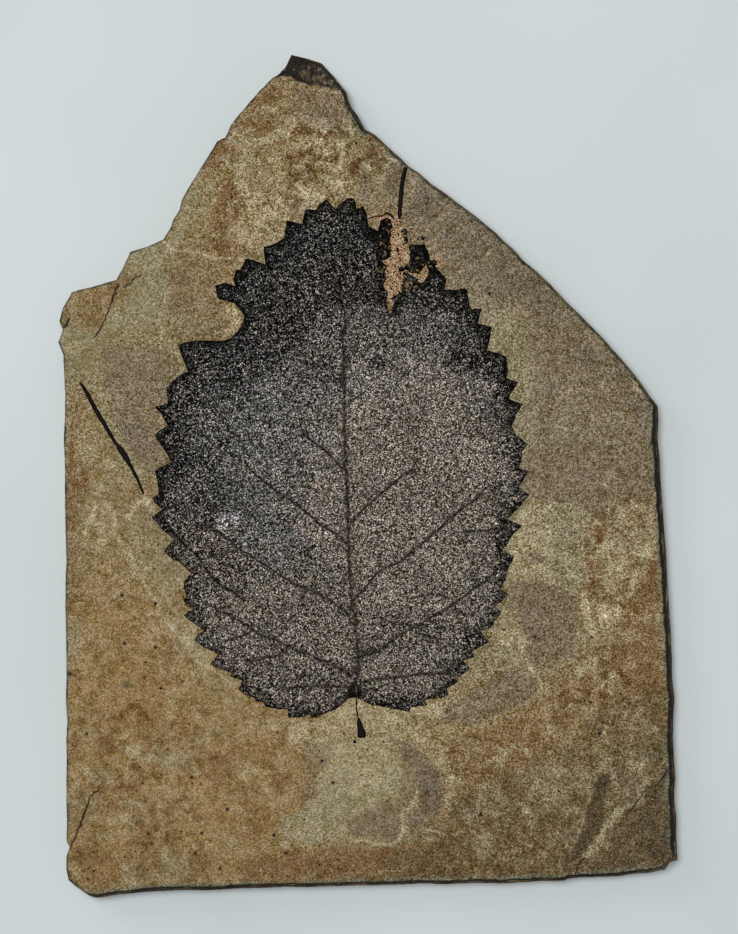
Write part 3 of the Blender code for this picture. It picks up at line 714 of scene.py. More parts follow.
# The bedding plane swells and has lost flakes exactly as the solid slab does; fine relief comes on top.
slab = {
    "thickness": 8.0,
    "swellHeight": 0.42,
    "swellLength": 34.0,
    "scarpRun": 0.6,
    "scarpWobble": 0.35,
    "columnStep": 0.62,  # along the broken edge
    "gridStep": 0.46,  # over the open bedding plane
    "coarseStep": 2.4,  # under the leaf, where nothing shows
    "rowsPerRing": (4, 6, 2, 6, 2, 5, 5, 3),  # between the solid's rings, from the foot up
    "chipDepth": 0.22,
    "rimWidth": 0.8,
    "rimDrop": 0.22,
    "steepWidth": {"right": 0.7, "near": 0.36, "tip": 0.4},  # where the edge has broken steeply
    "steepDrop": 1.3,
    "crackDepth": 0.3,
    "pitDepth": 0.25,
    "reliefSizes": ((9.0, 0.05), (3.2, 0.05), (1.3, 0.035), (0.7, 0.022)),  # wavelength and height
}
lostFlakes = {
    "pointedEnd": {
        "line": [(-19.3, 79.4), (-15.4, 79.9), (-13.6, 78.6), (-10, 77.9), (-6.9, 77.4), (-4.2, 76.8)],
        "pastEdge": [(0, 86), (-20, 88)],
        "drop": 0.9,
        "fall": 0.22,
    },
    "leftShoulder": {
        "line": [(-50.3, 39.3), (-50.8, 36), (-52.2, 32), (-54.2, 28.2), (-57.4, 25.6), (-61, 24.3)],
        "pastEdge": [(-66, 24), (-66, 42)],
        "drop": 0.3,
        "fall": 0.03,
    },
    "nearLeftCorner": {
        "line": [(-60.4, -64.8), (-56.4, -65.6), (-57.2, -68.2), (-58.2, -71), (-59.7, -74.1)],
        "pastEdge": [(-66, -74), (-66, -64)],
        "drop": 0.35,
        "fall": 0.05,
    },
    "nearRightCorner": {
        "line": [(61.3, -56.8), (58.2, -60.8), (54.4, -63.6), (52, -66.8), (48.4, -70.8), (44.4, -75.4),
                 (42.6, -78), (40, -80.6)],
        "pastEdge": [(40, -88), (68, -88), (68, -56)],
        "drop": 0.25,
        "fall": 0.02,
    },
    "rightOfTheLeaf": {
        "line": [(31.4, -21.6), (37.4, -21.4), (40.4, -23.4), (42.4, -28.8), (44.6, -32.8), (40.4, -35.4),
                 (35.4, -37.8), (33.4, -34.4), (31.6, -29.4), (31.4, -21.6)],
        "pastEdge": [],
        "drop": 0.2,
        "fall": 0,
    },
    "belowTheStalk": {
        "line": [(-4.6, -56.4), (0.8, -55), (5.6, -56.2), (7.6, -60.8), (8.4, -66), (5.8, -72),
                 (0.4, -73.8), (-4.6, -73.6), (-6, -70), (-3.8, -65), (-4.6, -56.4)],
        "pastEdge": [],
        "drop": 0.2,
        "fall": 0,
    },
}
cracks = {  # half width, then the line
    "shoulder": (0.17, [(-50, 38.2), (-50.6, 36.2), (-51.4, 34.2), (-52.2, 32), (-53, 30), (-54.2, 28.2),
        (-55, 27.4)]),
    "shoulderUpper": (0.15, [(-45.4, 40.2), (-46.6, 39.4), (-47.4, 38.6), (-48.6, 37.6)]),
    "notch": (0.2, [(-59.2, 31.8), (-60, 30.6), (-61, 29.4)]),
    "nearLeft": (0.22, [(-55.6, -64.4), (-56.2, -66.2), (-57.2, -69), (-58.4, -71.8), (-59.4, -74.4)]),
    "nearLeftUpper": (0.12, [(-53, -60), (-53.8, -62.6), (-55, -63.4), (-55.6, -64.4)]),
    "nearRight": (0.16, [(61.2, -57), (59.6, -58.8), (58.4, -60.6), (57.8, -61.6)]),
    "nearRightLow": (0.12, [(56.2, -61.4), (54.4, -63.8), (53, -65.8), (52.2, -67)]),
    "nearEdge": (0.14, [(43, -76), (42, -77.6), (41.2, -79.2)]),
}
pits = [
    (35.1, -26.3), (32.7, -30.5), (33.3, -32.1), (44.6, -32.1), (35, -37.8), (44.4, -45.2), (46.2, -51.3),
    (22.5, -67.5), (47.2, -61.4), (38, -62.8), (57.3, -64.2), (29.9, -42.8), (31.2, -44.4), (15.6, -47),
    (31.1, -71), (-49.1, -23.7), (-42.4, -25.4), (-48.6, -33.4), (-42.4, -34.2), (-44.6, -40.1),
    (-44.4, -37.1), (-41.3, -42.3), (-56.1, -51.4), (-35.2, -60), (-28.1, -66.4), (-37.2, -70.8),
    (-33.2, -71.2), (-34.5, -75.2), (-16.3, -75.2), (-48.6, -76), (-54.7, -78.7), (-9.7, -77.5),
    (-18.8, -71.6), (-7, -61.1), (-9.2, -56.8), (-43.8, -71.3), (-29.6, -78.2), (-2.4, 66.4), (24.2, 36.4),
    (-27.2, 55.6), (-59.4, -39.4), (-2.7, -52.9),
]
# Soft stains: middle x and y, half width and half height, turn in degrees, strength.
stains = {
    "ochreTone": [
        (-48, -44, 20, 30, 0, 0.85), (-28, -62, 24, 22, 0, 0.85), (-46, -18, 12, 18, 0, 0.45),
        (-28, 54, 9, 14, -25, 0.4), (-14, 66, 14, 12, 0, 0.35), (52, -20, 9, 18, 0, 0.6),
        (20, -50, 12, 3, 10, 0.5), (-56, 2, 5, 14, 0, 0.35), (-54, 34, 8, 5, 0, 0.4),
        (0, -80, 40, 6, 0, 0.6), (40, -50, 20, 14, 0, 0.5), (-30, 38, 8, 8, 0, 0.4),
        (-54, -72, 9, 12, 0, 0.9),
    ],
    "greyTone": [
        (40, 10, 26, 34, 0, 0.6), (24, 44, 24, 12, -45, 0.7), (43, 8, 10, 9, 0, 0.6),
        (-41, -12, 3.4, 8, 30, 0.4), (30, -34, 10, 12, 0, 0.3), (8, 52, 6, 8, 0, 0.4),
        (11.5, 57, 5, 6, -40, 0.9), (-46, 8, 3, 7, 30, 0.9),
    ],
    "rustTone": [
        (53, -4, 4, 6, 0, 0.5), (46, -44, 10, 7, 0, 0.55), (-59, -8, 2.4, 12, 0, 0.5),
        (-44, -52, 9, 5, 0, 0.2), (-52.6, -52, 2, 3, 0, 0.5), (-54, -78, 9, 3.4, 0, 0.5),
        (-44, -73, 3, 3, 0, 0.6), (-17, -61, 2.4, 2, 0, 0.5), (-53, -61.8, 0.8, 2, -12, 0.8),
        (36, -78, 10, 3, 0, 0.6), (-45, 34.4, 1.6, 1.4, 0, 0.5),
        (-22, 66, 7, 3.6, 30, 0.35), (-60, 8, 2.6, 9, 0, 0.4), (-9, 75.4, 4.6, 2.4, -8, 0.6),
    ],
    "greenTone": [
        (28, 22, 5, 14, 14, 0.55), (-3, 67, 5, 3.4, 0, 0.4), (-61, 12, 1.6, 12, 0, 0.6),
        (31, -36, 2.4, 6, -30, 0.4), (-53, -60, 2.4, 2, 0, 0.4), (4, 62, 2, 5, -30, 0.5),
        (-37, 50, 1.2, 9, -28, 0.7), (-49.5, 6.9, 0.9, 8.6, 30, 0.8), (-36, -33.4, 2.6, 5, 35, 0.7),
        (24.6, -37.6, 3.6, 3.6, 0, 0.5),
    ],
    "creamTone": [
        (-46.9, -54.4, 1.8, 1.6, 0, 0.5), (-24, -58.6, 2, 2, 0, 0.35), (-43, -30, 3, 3, 0, 0.25),
        (12, -46.4, 16, 1.4, 4, 0.45), (-18, 51.6, 9, 4.6, 24, 0.35), (-8, 57, 6, 2, 0, 0.4),
        (53.6, 17.6, 1, 1.6, 30, 0.9), (24, 44.3, 0.5, 0.5, 0, 0.9), (34.6, 25.4, 0.5, 0.5, 0, 0.7),
        (-33.8, 34, 0.5, 0.4, 0, 0.9), (35, -61, 4, 4.4, 0, 0.5), (-16.4, -73.6, 1, 0.9, 0, 0.8),
        (46, -60, 4, 2, 40, 0.4), (38.4, -77.8, 1.2, 1.6, -20, 0.7), (24, 14, 2, 16, 10, 0.3),
        (-20, -49.6, 6, 1.6, 8, 0.45), (-12, -51.5, 4.5, 3, 0, 0.45),
    ],
    "darkTone": [
        (-60, -39.4, 0.7, 0.6, 0, 0.8), (-48.4, -41.6, 1.2, 0.6, 0, 0.4), (58.6, -74, 3, 6, 0, 0.25),
        (11, 47.5, 0.5, 0.5, 0, 0.7), (-57, -70, 4.5, 8, 0, 0.2), (54, -58, 9, 6, 30, 0.15),
        (-8.6, 78.6, 3, 1.4, -20, 0.4),
    ],
    "bareTone": [
        (4.6, 46.6, 2.6, 6.4, 4, 1), (5.2, 39.4, 2.4, 5.6, 0, 1), (9.6, 40.6, 4, 1.8, 20, 1),
        (3, 51.8, 2.6, 1.4, 0, 0.7), (13.6, 42.8, 1.6, 1.4, 0, 0.6),
    ],
    "fineClay": [
        (-40, -56, 34, 46, 0, 1), (-2, -62, 14, 16, 0, 1), (-52, -14, 12, 20, 0, 0.7),
        (-56, 27, 9, 8, 0, 1), (-46, 38, 8, 10, 0, 0.9), (-38, 46, 6, 14, 0, 0.6),
    ],
    "mottle": [
        (-14, 60, 18, 12, 30, 1.5), (-2, 64, 8, 8, 0, 1.4), (24, -64, 24, 14, 0, 0.8),
        (50, -16, 10, 18, 0, 1), (48, -44, 14, 14, 0, 0.8), (-44, -60, 22, 22, 0, 0.5),
        (-56, -10, 8, 20, 0, 0.5), (6, -66, 10, 10, 0, 0.4), (-40, -30, 20, 20, 0, 0.3),
    ],
}
stainSoftness = {"ochreTone": 0.7, "rustTone": 0.5, "greyTone": 0.6, "mottle": 0.6, "fineClay": 0.8}
# Patches of the bedding plane with a clear shape: tone, strength, softness of the edge, outline.
patches = {
    "tongue": ("greenTone", 0.95, 0.5, [(-6, -51.8), (-9.2, -56.2), (-10.2, -60.4), (-9.6, -62.8),
        (-12.4, -65.4), (-14.4, -67.2), (-16.6, -68.4), (-16.8, -72), (-16, -73.4), (-11.6, -73.2),
        (-6.6, -72.4), (-3.2, -71.2), (-3.6, -68.8), (-1.2, -66.4), (3.4, -64.6), (6.4, -62.8), (6.8, -58.8),
        (5.6, -54.8), (4.8, -52.4), (0.4, -51.8), (-3.6, -52.4)]),
    "besideTongue": ("patchTone", 0.5, 0.5, [(-13.2, -52.4), (-7.6, -52), (-8.8, -56), (-10, -59.2),
        (-9.8, -62.8), (-12.4, -65.4), (-13.6, -64.8), (-13.2, -59.8), (-12.8, -55.8)]),
    "tongueTop": ("creamTone", 0.5, 1.2, [(-8.6, -53), (-3, -51.6), (4, -52.4), (5.6, -56), (4.4, -61),
        (0, -63), (-5, -62.4), (-8.8, -60.4)]),
    "tongueMiddle": ("creamTone", 0.22, 1, [(-8.6, -60), (6.4, -59), (6, -63.4), (-2, -68.4), (-4.4, -72),
        (-15, -73), (-15.4, -69.4)]),
    "tongueFoot": ("patchTone", 0.7, 0.8, [(-3.2, -71.8), (-3.6, -69.2), (-0, -66.4), (6, -64.4), (7, -59.8),
        (8.8, -58.8), (9.4, -62.8), (7.2, -66), (6.4, -67.8), (6.8, -71.2), (5.6, -73.2), (2.4, -72.8)]),
    "crescent": ("patchTone", 0.95, 0.5, [(4.8, -51.8), (6.4, -53.8), (6, -56.2), (8.4, -57.8), (10, -61.2),
        (10.4, -64.8), (8.8, -66.8), (7.2, -69.2), (8, -71.2), (11.4, -70), (13.6, -67.8), (14.8, -64.8),
        (14.8, -60.8), (13.6, -57.8), (11.6, -55.2), (8.4, -53.2)]),
    "crescentHeart": ("darkTone", 0.28, 1.6, [(10.4, -58.8), (12, -58.4), (13.6, -61.8), (13.2, -65.8),
        (11.2, -67.2), (10.4, -64.4), (11.2, -61.8)]),
    "crescentRim": ("creamTone", 0.32, 0.7, [(10, -47.8), (12.4, -51.8), (15.6, -55.2), (16.8, -58.8),
        (17.6, -62.8), (16.8, -66.8), (14.8, -70), (12.4, -70.4), (14.4, -66.8), (15.6, -62.8), (15.2, -59.2),
        (13.6, -56.4), (11.2, -54.4), (8.8, -52.4), (6.4, -50.4)]),
    "roundTheStalk": ("creamTone", 0.6, 0.9, [(-13.6, -49.2), (-7.6, -48), (-3.2, -44.8), (-0, -44.8),
        (3.4, -47.2), (6.4, -48), (10.4, -48), (10.4, -49.6), (6.4, -52.4), (3.4, -52.8), (0.4, -51.8),
        (-6, -51.8), (-10, -53.2), (-13.6, -52.8)]),
    "underTheMargin": ("patchTone", 0.8, 0.6, [(14.4, -48.4), (16, -46), (19.6, -44.2), (23.4, -40.8),
        (26.4, -38.4), (30.4, -38.4), (32.8, -40), (32.8, -43.2), (30.4, -45.8), (25.4, -47.2), (22, -49.2),
        (17.4, -50.4)]),
    "rustField": ("rustTone", 0.6, 1.2, [(15.6, -53.2), (20.4, -51.2), (26.4, -49.2), (31.4, -47.8),
        (35.4, -49.2), (38.4, -52.8), (35.4, -56.8), (32.4, -62.8), (30.4, -66.8), (26.4, -69.2), (20.4, -70),
        (17.4, -67.8), (18.8, -63.8), (16.8, -58.8), (16, -55.8)]),
    "nearEdgeBand": ("rustTone", 0.8, 0.8, [(-25.6, -77.2), (-17.6, -74.8), (-3.6, -74), (4.4, -74.8),
        (8.4, -73.2), (12.4, -72.4), (16.4, -74.8), (38.4, -74), (44.4, -76), (44.4, -81.6), (-25.6, -82.8)]),
    "greyPatch": ("patchTone", 1, 0.35, [(28, -22), (30.4, -21.4), (34.4, -21.6), (36.8, -22), (39.6, -23.2),
        (41.2, -24.8), (41, -29.8), (41.6, -33.8), (41.2, -36.4), (38.4, -36), (36, -36.4), (35.2, -38.4),
        (32.4, -38), (31.2, -35.8), (31.8, -32.8), (30.4, -28.8), (29.6, -25.8), (28, -24)]),
    "greyLens": ("patchTone", 0.95, 0.3, [(31.2, -15.2), (32.8, -14.6), (34.8, -14.8), (34.6, -16.8),
        (32, -16.8)]),
    "paleField": ("greenTone", 0.7, 0.5, [(27.4, -8.8), (30.4, -5.2), (38.4, -4.8), (42.4, -6.4), (44, -8.8),
        (43.2, -13.8), (42.8, -19.8), (41.4, -23.2), (37.6, -21.6), (28, -21.2), (27.4, -18.8), (29.2, -15.8),
        (28, -13.8)]),
    "paleFieldMiddle": ("creamTone", 0.4, 0.9, [(28, -12.8), (30.4, -5.8), (37.4, -4.8), (36.4, -13.8),
        (35.4, -16.8), (36.8, -20.8), (28, -21.2)]),
    "paleFieldShade": ("greyTone", 0.8, 0.6, [(37.6, -7.2), (44.4, -6.8), (43.6, -12.8), (42.8, -16.8),
        (39.4, -16.8), (38.4, -12.8)]),
    "rightSliver": ("creamTone", 0.95, 0.3, [(41.6, -24.8), (42.8, -22.8), (43.6, -24.8), (44.8, -28.8),
        (46, -32), (44.8, -32.8), (43.2, -31.2), (42.4, -28.4)]),
    "lowSliver": ("creamTone", 0.8, 0.3, [(41.6, -38.4), (43.2, -36), (46, -35.2), (44.8, -37.2),
        (42.4, -39.6), (41.2, -40)]),
    "marginSlivers": ("creamTone", 0.6, 0.5, [(28.8, -28), (29.6, -28.8), (30.4, -31.2), (31.6, -33.8),
        (32.8, -37.8), (33.6, -39.2), (34.4, -41.6), (32.8, -42.8), (32.4, -40), (30.4, -35.8), (28.4, -32.8),
        (27.4, -34.8), (25.4, -32.8), (26.4, -29.8), (28, -30.8)]),
    "rustColumn": ("rustTone", 0.8, 0.5, [(43.2, -8.8), (44.8, -7.2), (46.8, -8), (47.6, -10.8),
        (46.8, -14.8), (48, -16.8), (46.4, -19.2), (46.8, -22.8), (45.2, -24.4), (43.6, -22.8), (43.2, -17.8),
        (43.6, -12.8)]),
    "rightBand": ("rustTone", 0.65, 0.9, [(57.4, -13.8), (58.8, -16.8), (59.2, -24.8), (60.8, -36.8),
        (61.2, -44.8), (58.4, -50.8), (52.4, -49.8), (44.4, -42.8), (46.4, -34.8), (46.4, -32.8),
        (49.4, -29.8), (51.4, -24.8), (54, -20.4), (56, -16.8)]),
    "rightTan": ("creamTone", 0.16, 0.8, [(47.2, -7.8), (54.4, -4.8), (57.4, -8.8), (57.4, -13.8),
        (55.4, -16.8), (54.4, -19.8), (51.4, -24.8), (47.4, -24.4), (46.8, -19.8), (48, -16.8),
        (47.2, -13.8)]),
    "rightIsland": ("creamTone", 0.55, 0.5, [(45.6, -25.8), (48.8, -25.6), (51.2, -26.8), (50, -29.8),
        (47.6, -31.2), (45.6, -29.2)]),
    "greyShelf": ("patchTone", 0.75, 0.5, [(31.8, 4.8), (42.4, 7.2), (57.4, 6.2), (57.8, -3.8), (50.4, -4.2),
        (46.4, -3.6), (41.4, -5.2), (36.4, -4.8), (32.4, -3.8), (30.4, -0.8)]),
    "leftSliver": ("creamTone", 0.9, 0.3, [(-54.8, -5.4), (-54.2, -6.4), (-54.6, -8.8), (-55.6, -10.4),
        (-56.2, -12.8), (-56.8, -11.2), (-56, -8.8), (-55.4, -6.8)]),
    "leftRibbon": ("creamTone", 0.65, 0.35, [(-52.8, -5.2), (-51.2, -5.8), (-50, -8.8), (-49.6, -11.6),
        (-48, -13.8), (-46.8, -16.8), (-45.2, -19.8), (-45.8, -20.8), (-47.6, -17.8), (-49.2, -14.8),
        (-50.2, -12.2), (-51.6, -8.8)]),
    "needleFork": ("creamTone", 0.9, 0.35, [(-45, -3.6), (-43.6, -4.4), (-42.8, -6), (-44.4, -6), (-46, -7.2),
        (-47.6, -8.8), (-48.4, -8.4), (-47, -6.4), (-45.6, -4.8)]),
    "leftMargin": ("greenTone", 0.4, 0.7, [(-47.6, -8.8), (-45.6, -7.2), (-43.2, -6), (-43, -8.4),
        (-41, -10.8), (-39.6, -13), (-40.6, -14.8), (-39.2, -16.4), (-37.2, -17.2), (-36, -19.2),
        (-37.2, -21.8), (-38.6, -24.8), (-37.6, -28.8), (-35.6, -32.8), (-38.6, -30.4), (-41.6, -24.8),
        (-44, -21.8), (-46, -17.8), (-48, -13.8)]),
    "leftMarginLow": ("creamTone", 0.5, 0.4, [(-36.6, -27.2), (-35.2, -28.8), (-33.6, -31.2), (-34.8, -32.8),
        (-33.6, -34.4), (-30.6, -35.8), (-31.6, -37.2), (-34.4, -35.8), (-36.8, -32.8), (-38, -29.8)]),
    "leftEdgeGreen": ("greenTone", 0.55, 1, [(-60.8, -27.8), (-56.8, -28.8), (-57.2, -34.8), (-59.2, -37.8),
        (-60.8, -36.8)]),
    "shoulderGreen": ("greenTone", 0.9, 0.6, [(-48, 44.2), (-45.6, 45.6), (-41.6, 46.2), (-41.2, 42.8),
        (-40, 39.2), (-39.2, 35.2), (-40.6, 30.8), (-45.6, 30.8), (-48, 29.2), (-52, 28.8), (-52.8, 28.2),
        (-51.2, 33.2), (-49.2, 35.2), (-46.8, 37.2), (-45.6, 39.6), (-46.4, 42.8)]),
    "notchPatch": ("greenTone", 1, 0.35, [(-62.2, 29.2), (-60.4, 30), (-56.8, 30.4), (-55.2, 29.2),
        (-54, 28), (-55.2, 26.2), (-56.8, 24.8), (-59.6, 24), (-62.2, 24.8), (-62.8, 27.2)]),
    "notchPale": ("creamTone", 0.6, 0.5, [(-60.4, 26.4), (-58, 27.6), (-56.8, 27.2), (-58.8, 25.6),
        (-60, 25.2)]),
    "besideTheBay": ("patchTone", 0.4, 0.8, [(-39.2, 40.2), (-35.6, 42.8), (-30.6, 42.8), (-28.6, 40.2),
        (-30, 38.2), (-28.6, 35.2), (-29.2, 32.2), (-28.6, 28.2), (-30.6, 27.2), (-37.6, 27.2), (-39.2, 31.2),
        (-39.6, 36.2)]),
    "bayRust": ("rustTone", 0.4, 0.9, [(-38.8, 39.6), (-34.4, 40), (-34, 35.2), (-35.6, 31.6),
        (-38.4, 32.8)]),
    "bay": ("creamTone", 0.5, 0.5, [(-29.2, 35.2), (-26.4, 34), (-25.2, 31.2), (-26.4, 28.4), (-29.2, 27.6),
        (-28, 31.2)]),
    "lobe": ("rustTone", 0.3, 0.7, [(-61.2, 32.2), (-58.6, 36.8), (-52.6, 38.4), (-50, 38.8), (-50.4, 36),
        (-52, 33.2), (-54, 29.2), (-56.6, 30.8), (-60.4, 30.4)]),
    "leftGrey": ("patchTone", 0.7, 0.9, [(-52.8, 26.2), (-40.6, 26.2), (-38.6, 25.2), (-37.2, 22.2),
        (-39.2, 18.2), (-40.6, 15.2), (-41.6, 11.2), (-40.6, 7.2), (-39.2, 2.8), (-44, -0.8), (-48.6, 7.2),
        (-51.2, 13.2), (-52.8, 19.2)]),
    "leftGreen": ("greenTone", 0.5, 0.8, [(-61.2, 23.6), (-54, 24), (-52.8, 19.2), (-51.2, 14.2),
        (-54.4, 16.2), (-57.6, 18.2), (-61.2, 15.2)]),
    "besideNeedle": ("creamTone", 0.6, 0.4, [(-56, 18), (-54, 16), (-51.6, 12.8), (-49.6, 9.2), (-48.4, 6),
        (-49.6, 6.8), (-51.6, 10.4), (-54, 14)]),
    "leftRust": ("rustTone", 0.75, 0.7, [(-61.2, 11.2), (-57.6, 9.2), (-56.8, 6.2), (-55.6, 1.2),
        (-55.2, -2.8), (-57.2, -4.8), (-61.2, -7.2)]),
    "underTheCap": ("patchTone", 0.6, 0.7, [(-16.4, 76), (-13.6, 78.4), (-4.6, 76.8), (-4, 73.2),
        (-3.2, 70.2), (-7.6, 69.2), (-13.6, 69.6), (-16.4, 72.8)]),
    "capFoot": ("rustTone", 0.6, 0.5, [(-21.2, 76.8), (-17.2, 78.6), (-17.6, 75.6), (-21.2, 73.2),
        (-23.6, 72.6)]),
    "capBand": ("rustTone", 0.7, 0.6, [(-26.4, 71.2), (-21.2, 72.8), (-17.6, 71.6), (-16.8, 69.2),
        (-21.2, 69.2), (-23.6, 67.2), (-27.2, 67.6)]),
    "leftRise": ("rustTone", 0.9, 0.6, [(-32.4, 64.8), (-28.6, 67.2), (-26.4, 65.2), (-27.2, 62.2),
        (-30.6, 60.8), (-33.6, 61.6)]),
    "tallRust": ("rustTone", 0.9, 0.7, [(-29.2, 59.2), (-26.4, 59.2), (-25.6, 55.2), (-26.4, 50.2),
        (-27.2, 43.6), (-30.6, 43.6), (-31.6, 48.2), (-30.8, 53.2)]),
    "riseGreen": ("greenTone", 0.7, 0.6, [(-37.6, 56.8), (-33.6, 59.2), (-32.6, 54.2), (-35.6, 50.2),
        (-39.2, 49.2)]),
    "risePale": ("creamTone", 0.4, 0.6, [(-25.6, 56.2), (-21.2, 57.2), (-19.6, 54.2), (-21.2, 51.2),
        (-24.6, 52.2)]),
    "topRust": ("rustTone", 1, 0.5, [(-3.2, 67.2), (-0.6, 68), (3.4, 67.2), (2.4, 64.8), (-1.2, 63.2),
        (-3.2, 64.8)]),
    "topLens": ("patchTone", 0.95, 0.3, [(-3.2, 59.2), (-1.2, 60.8), (0.8, 59.2), (1.4, 56.8), (-0.4, 54.8),
        (-2.4, 56)]),
    "needleShade": ("patchTone", 0.95, 0.5, [(3.4, 59.2), (4, 60.8), (5, 62.4), (6.4, 62.4), (6.6, 60.2),
        (6.2, 57.6), (5.8, 55.2), (5.6, 53.2), (5, 52.4), (4.6, 53.6), (4, 55.2), (3.6, 56.8), (3.2, 58)]),
    "besideTopNeedle": ("creamTone", 0.5, 0.5, [(8.2, 60), (9.4, 59.8), (9.8, 57.6), (9.6, 55.4), (8.6, 54.8),
        (8, 57)]),
    "topTan": ("creamTone", 0.35, 0.8, [(-13.6, 67.8), (-4.6, 67.6), (-3.6, 62.2), (-7.6, 63.2),
        (-13.6, 65.2)]),
    "topSpot": ("rustTone", 0.7, 0.5, [(-17.6, 56), (-13.6, 55.6), (-13.2, 52.4), (-16.8, 52)]),
    "lowBlotchA": ("rustTone", 0.5, 1, [(-45, -52.4), (-41.6, -51.8), (-41.6, -57.2), (-44.4, -56.4)]),
    "lowBlotchB": ("rustTone", 0.45, 1.2, [(-32, -53.8), (-26.6, -54.4), (-27.2, -62.8), (-31.2, -62)]),
    "lowBlotchC": ("rustTone", 0.45, 1.2, [(-48, -64), (-38.4, -64.4), (-38.8, -74.8), (-43.2, -74),
        (-47.2, -68.4)]),
    "lowBlotchD": ("rustTone", 0.55, 1, [(-36.8, -75.2), (-30.8, -74.8), (-30.8, -81.6), (-36, -81.6)]),
    "lowBlotchE": ("rustTone", 0.5, 1, [(-25.2, -66.4), (-21.2, -67.2), (-21.2, -72.8), (-24.4, -72)]),
    "lowPaleA": ("greenTone", 0.5, 1, [(-41.6, -54.8), (-35.6, -54.8), (-35.6, -58.4), (-41.2, -58.4)]),
    "lowPaleB": ("greenTone", 0.45, 1, [(-41.6, -74.8), (-37.2, -75.2), (-37.6, -80), (-40.8, -80)]),
    "lowRightShade": ("oliveTone", 0.42, 3, [(14, -80), (16, -66), (30, -58), (40, -52), (47, -46),
        (56, -42), (62, -42), (63, -84), (14, -84)]),
    "underCap": ("rustTone", 0.42, 1.5, [(-17, 76), (-8, 77), (-3.6, 74), (-1.6, 69), (-8, 69), (-16, 71)]),
    "besideNeedle": ("darkTone", 0.2, 1, [(7.4, 62), (14, 56), (11, 52), (7, 55)]),
    "farShade": ("darkTone", 0.13, 2, [(4, 66), (62, 16), (62, 6), (54, 12), (28, 34), (4, 56)]),
    "nearRim": ("oliveTone", 0.55, 1, [(4, -74.6), (30, -75.4), (52, -73), (62, -68), (62, -84), (4, -84)]),
    "nearBrown": ("rustTone", 0.72, 2.5, [(11, -61), (20, -59), (34, -63), (37, -76), (11, -78)]),
    "nearShade": ("oliveTone", 0.3, 3, [(-12, -84), (-8, -77), (6, -76), (16, -66), (40, -56), (44, -84)]),
    "cornerShade": ("oliveTone", 0.82, 0.6, [(61.4, -56.8), (56.8, -61.2), (54.4, -63.2), (52, -66),
        (50, -69.2), (47.6, -73.2), (44, -78.4), (42.4, -80), (46.4, -82.8), (64.4, -80.8), (64.4, -56.8)]),
    "cornerStripHeart": ("darkTone", 0.1, 1.2, [(45.2, -59.6), (47.4, -59.6), (46.8, -64.6), (45.4, -69.2),
        (42.4, -74.8), (39.2, -78), (41.2, -73.4), (43.4, -69), (44.6, -64.6)]),
    "cornerStrip": ("oliveTone", 1, 0.5, [(45.6, -59.2), (48, -58.4), (48.8, -61.2), (47.2, -64.8),
        (46.4, -69.2), (44.4, -73.2), (41.6, -76.8), (40, -79.2), (38.8, -78), (41.2, -74), (43.2, -69.6),
        (44.4, -64.8)]),
    "cornerRidge": ("wispTone", 0.6, 0.5, [(57.6, -59.4), (55.4, -60.6), (52.4, -64.4), (49.6, -67.2),
        (46.8, -69.4), (44.4, -72.6), (42.6, -76.2), (43.8, -76.4), (45.6, -73.2), (48, -70.4), (51.2, -67.4),
        (54, -64), (56.6, -61.2)]),
}
# Pale seams where a lamina ends, with the seam's half width.
seams = [
    (0.45, [(-40.8, 46.8), (-39.2, 45.2), (-33, 44.4), (-31, 43.2), (-29.2, 43.6), (-24.6, 43.2)]),
    (0.35, [(-40.4, 36.8), (-40.6, 34.8)]),
    (0.35, [(-41.2, 30), (-41.4, 25.4)]),
    (0.3, [(-50.6, 21), (-46, 20.4)]),
    (0.4, [(-13.6, 72), (-15.6, 68.8), (-16.2, 67.4)]),
    (0.4, [(-8, 70.4), (-6, 68.4)]),
    (0.3, [(-14, 77.4), (-6, 76.4), (-2.6, 75.4)]),
    (0.4, [(-26.8, 68.6), (-22.8, 65.6)]),
    (0.3, [(-22, 73.6), (-18, 73.4)]),
    (
        0.55,
        [
            (-45.4, -20.4), (-43.4, -23.4), (-41.6, -26.4), (-40.4, -28.4), (-38, -31.6), (-36.4, -34),
            (-34.4, -36.8), (-30.6, -38.8), (-28, -40.8),
        ],
    ),
    (
        0.5,
        [
            (-3.4, -72.8), (-0.6, -72.6), (2, -73.4), (4.4, -73.4), (6, -72.4), (7, -70.8), (6.6, -68.4),
            (7, -66.8), (8.8, -65.6), (9.6, -63.8), (9.8, -60.8), (9.2, -58.4),
        ],
    ),
    (0.35, [(11, -70.4), (13.4, -70.8), (15.2, -71.4)]),
    (0.35, [(43, -10), (42.6, -14.8), (43.4, -18.4)]),
    (0.3, [(44.8, -43), (46.8, -41.4), (49, -39.6)]),
    (0.35, [(-16.6, -73.4), (-13, -70.4), (-10.8, -69)]),
]


def warped(points, length, reach, seed):
    # points moved a little by noise, so that drawn shapes get natural edges
    shift = np.stack([noiseAt(points, length, seed), noiseAt(points, length, seed + 11.3)], axis=1)
    return points + shift * reach * 2


def beddingHeight(points):
    height = slab["thickness"] + slab["swellHeight"] * noiseAt(points, slab["swellLength"], 3.1)
    shaken = warped(points, 2.6, slab["scarpWobble"], 41.0)
    for flake in lostFlakes.values():
        inside = insideOutline(shaken, flake["line"] + flake["pastEdge"])
        if inside.any():
            beyond = distanceTo(shaken[inside], flake["line"])
            height[inside] -= (
                flake["drop"] * np.minimum(1, beyond / slab["scarpRun"]) + flake["fall"] * beyond
            )
    return height


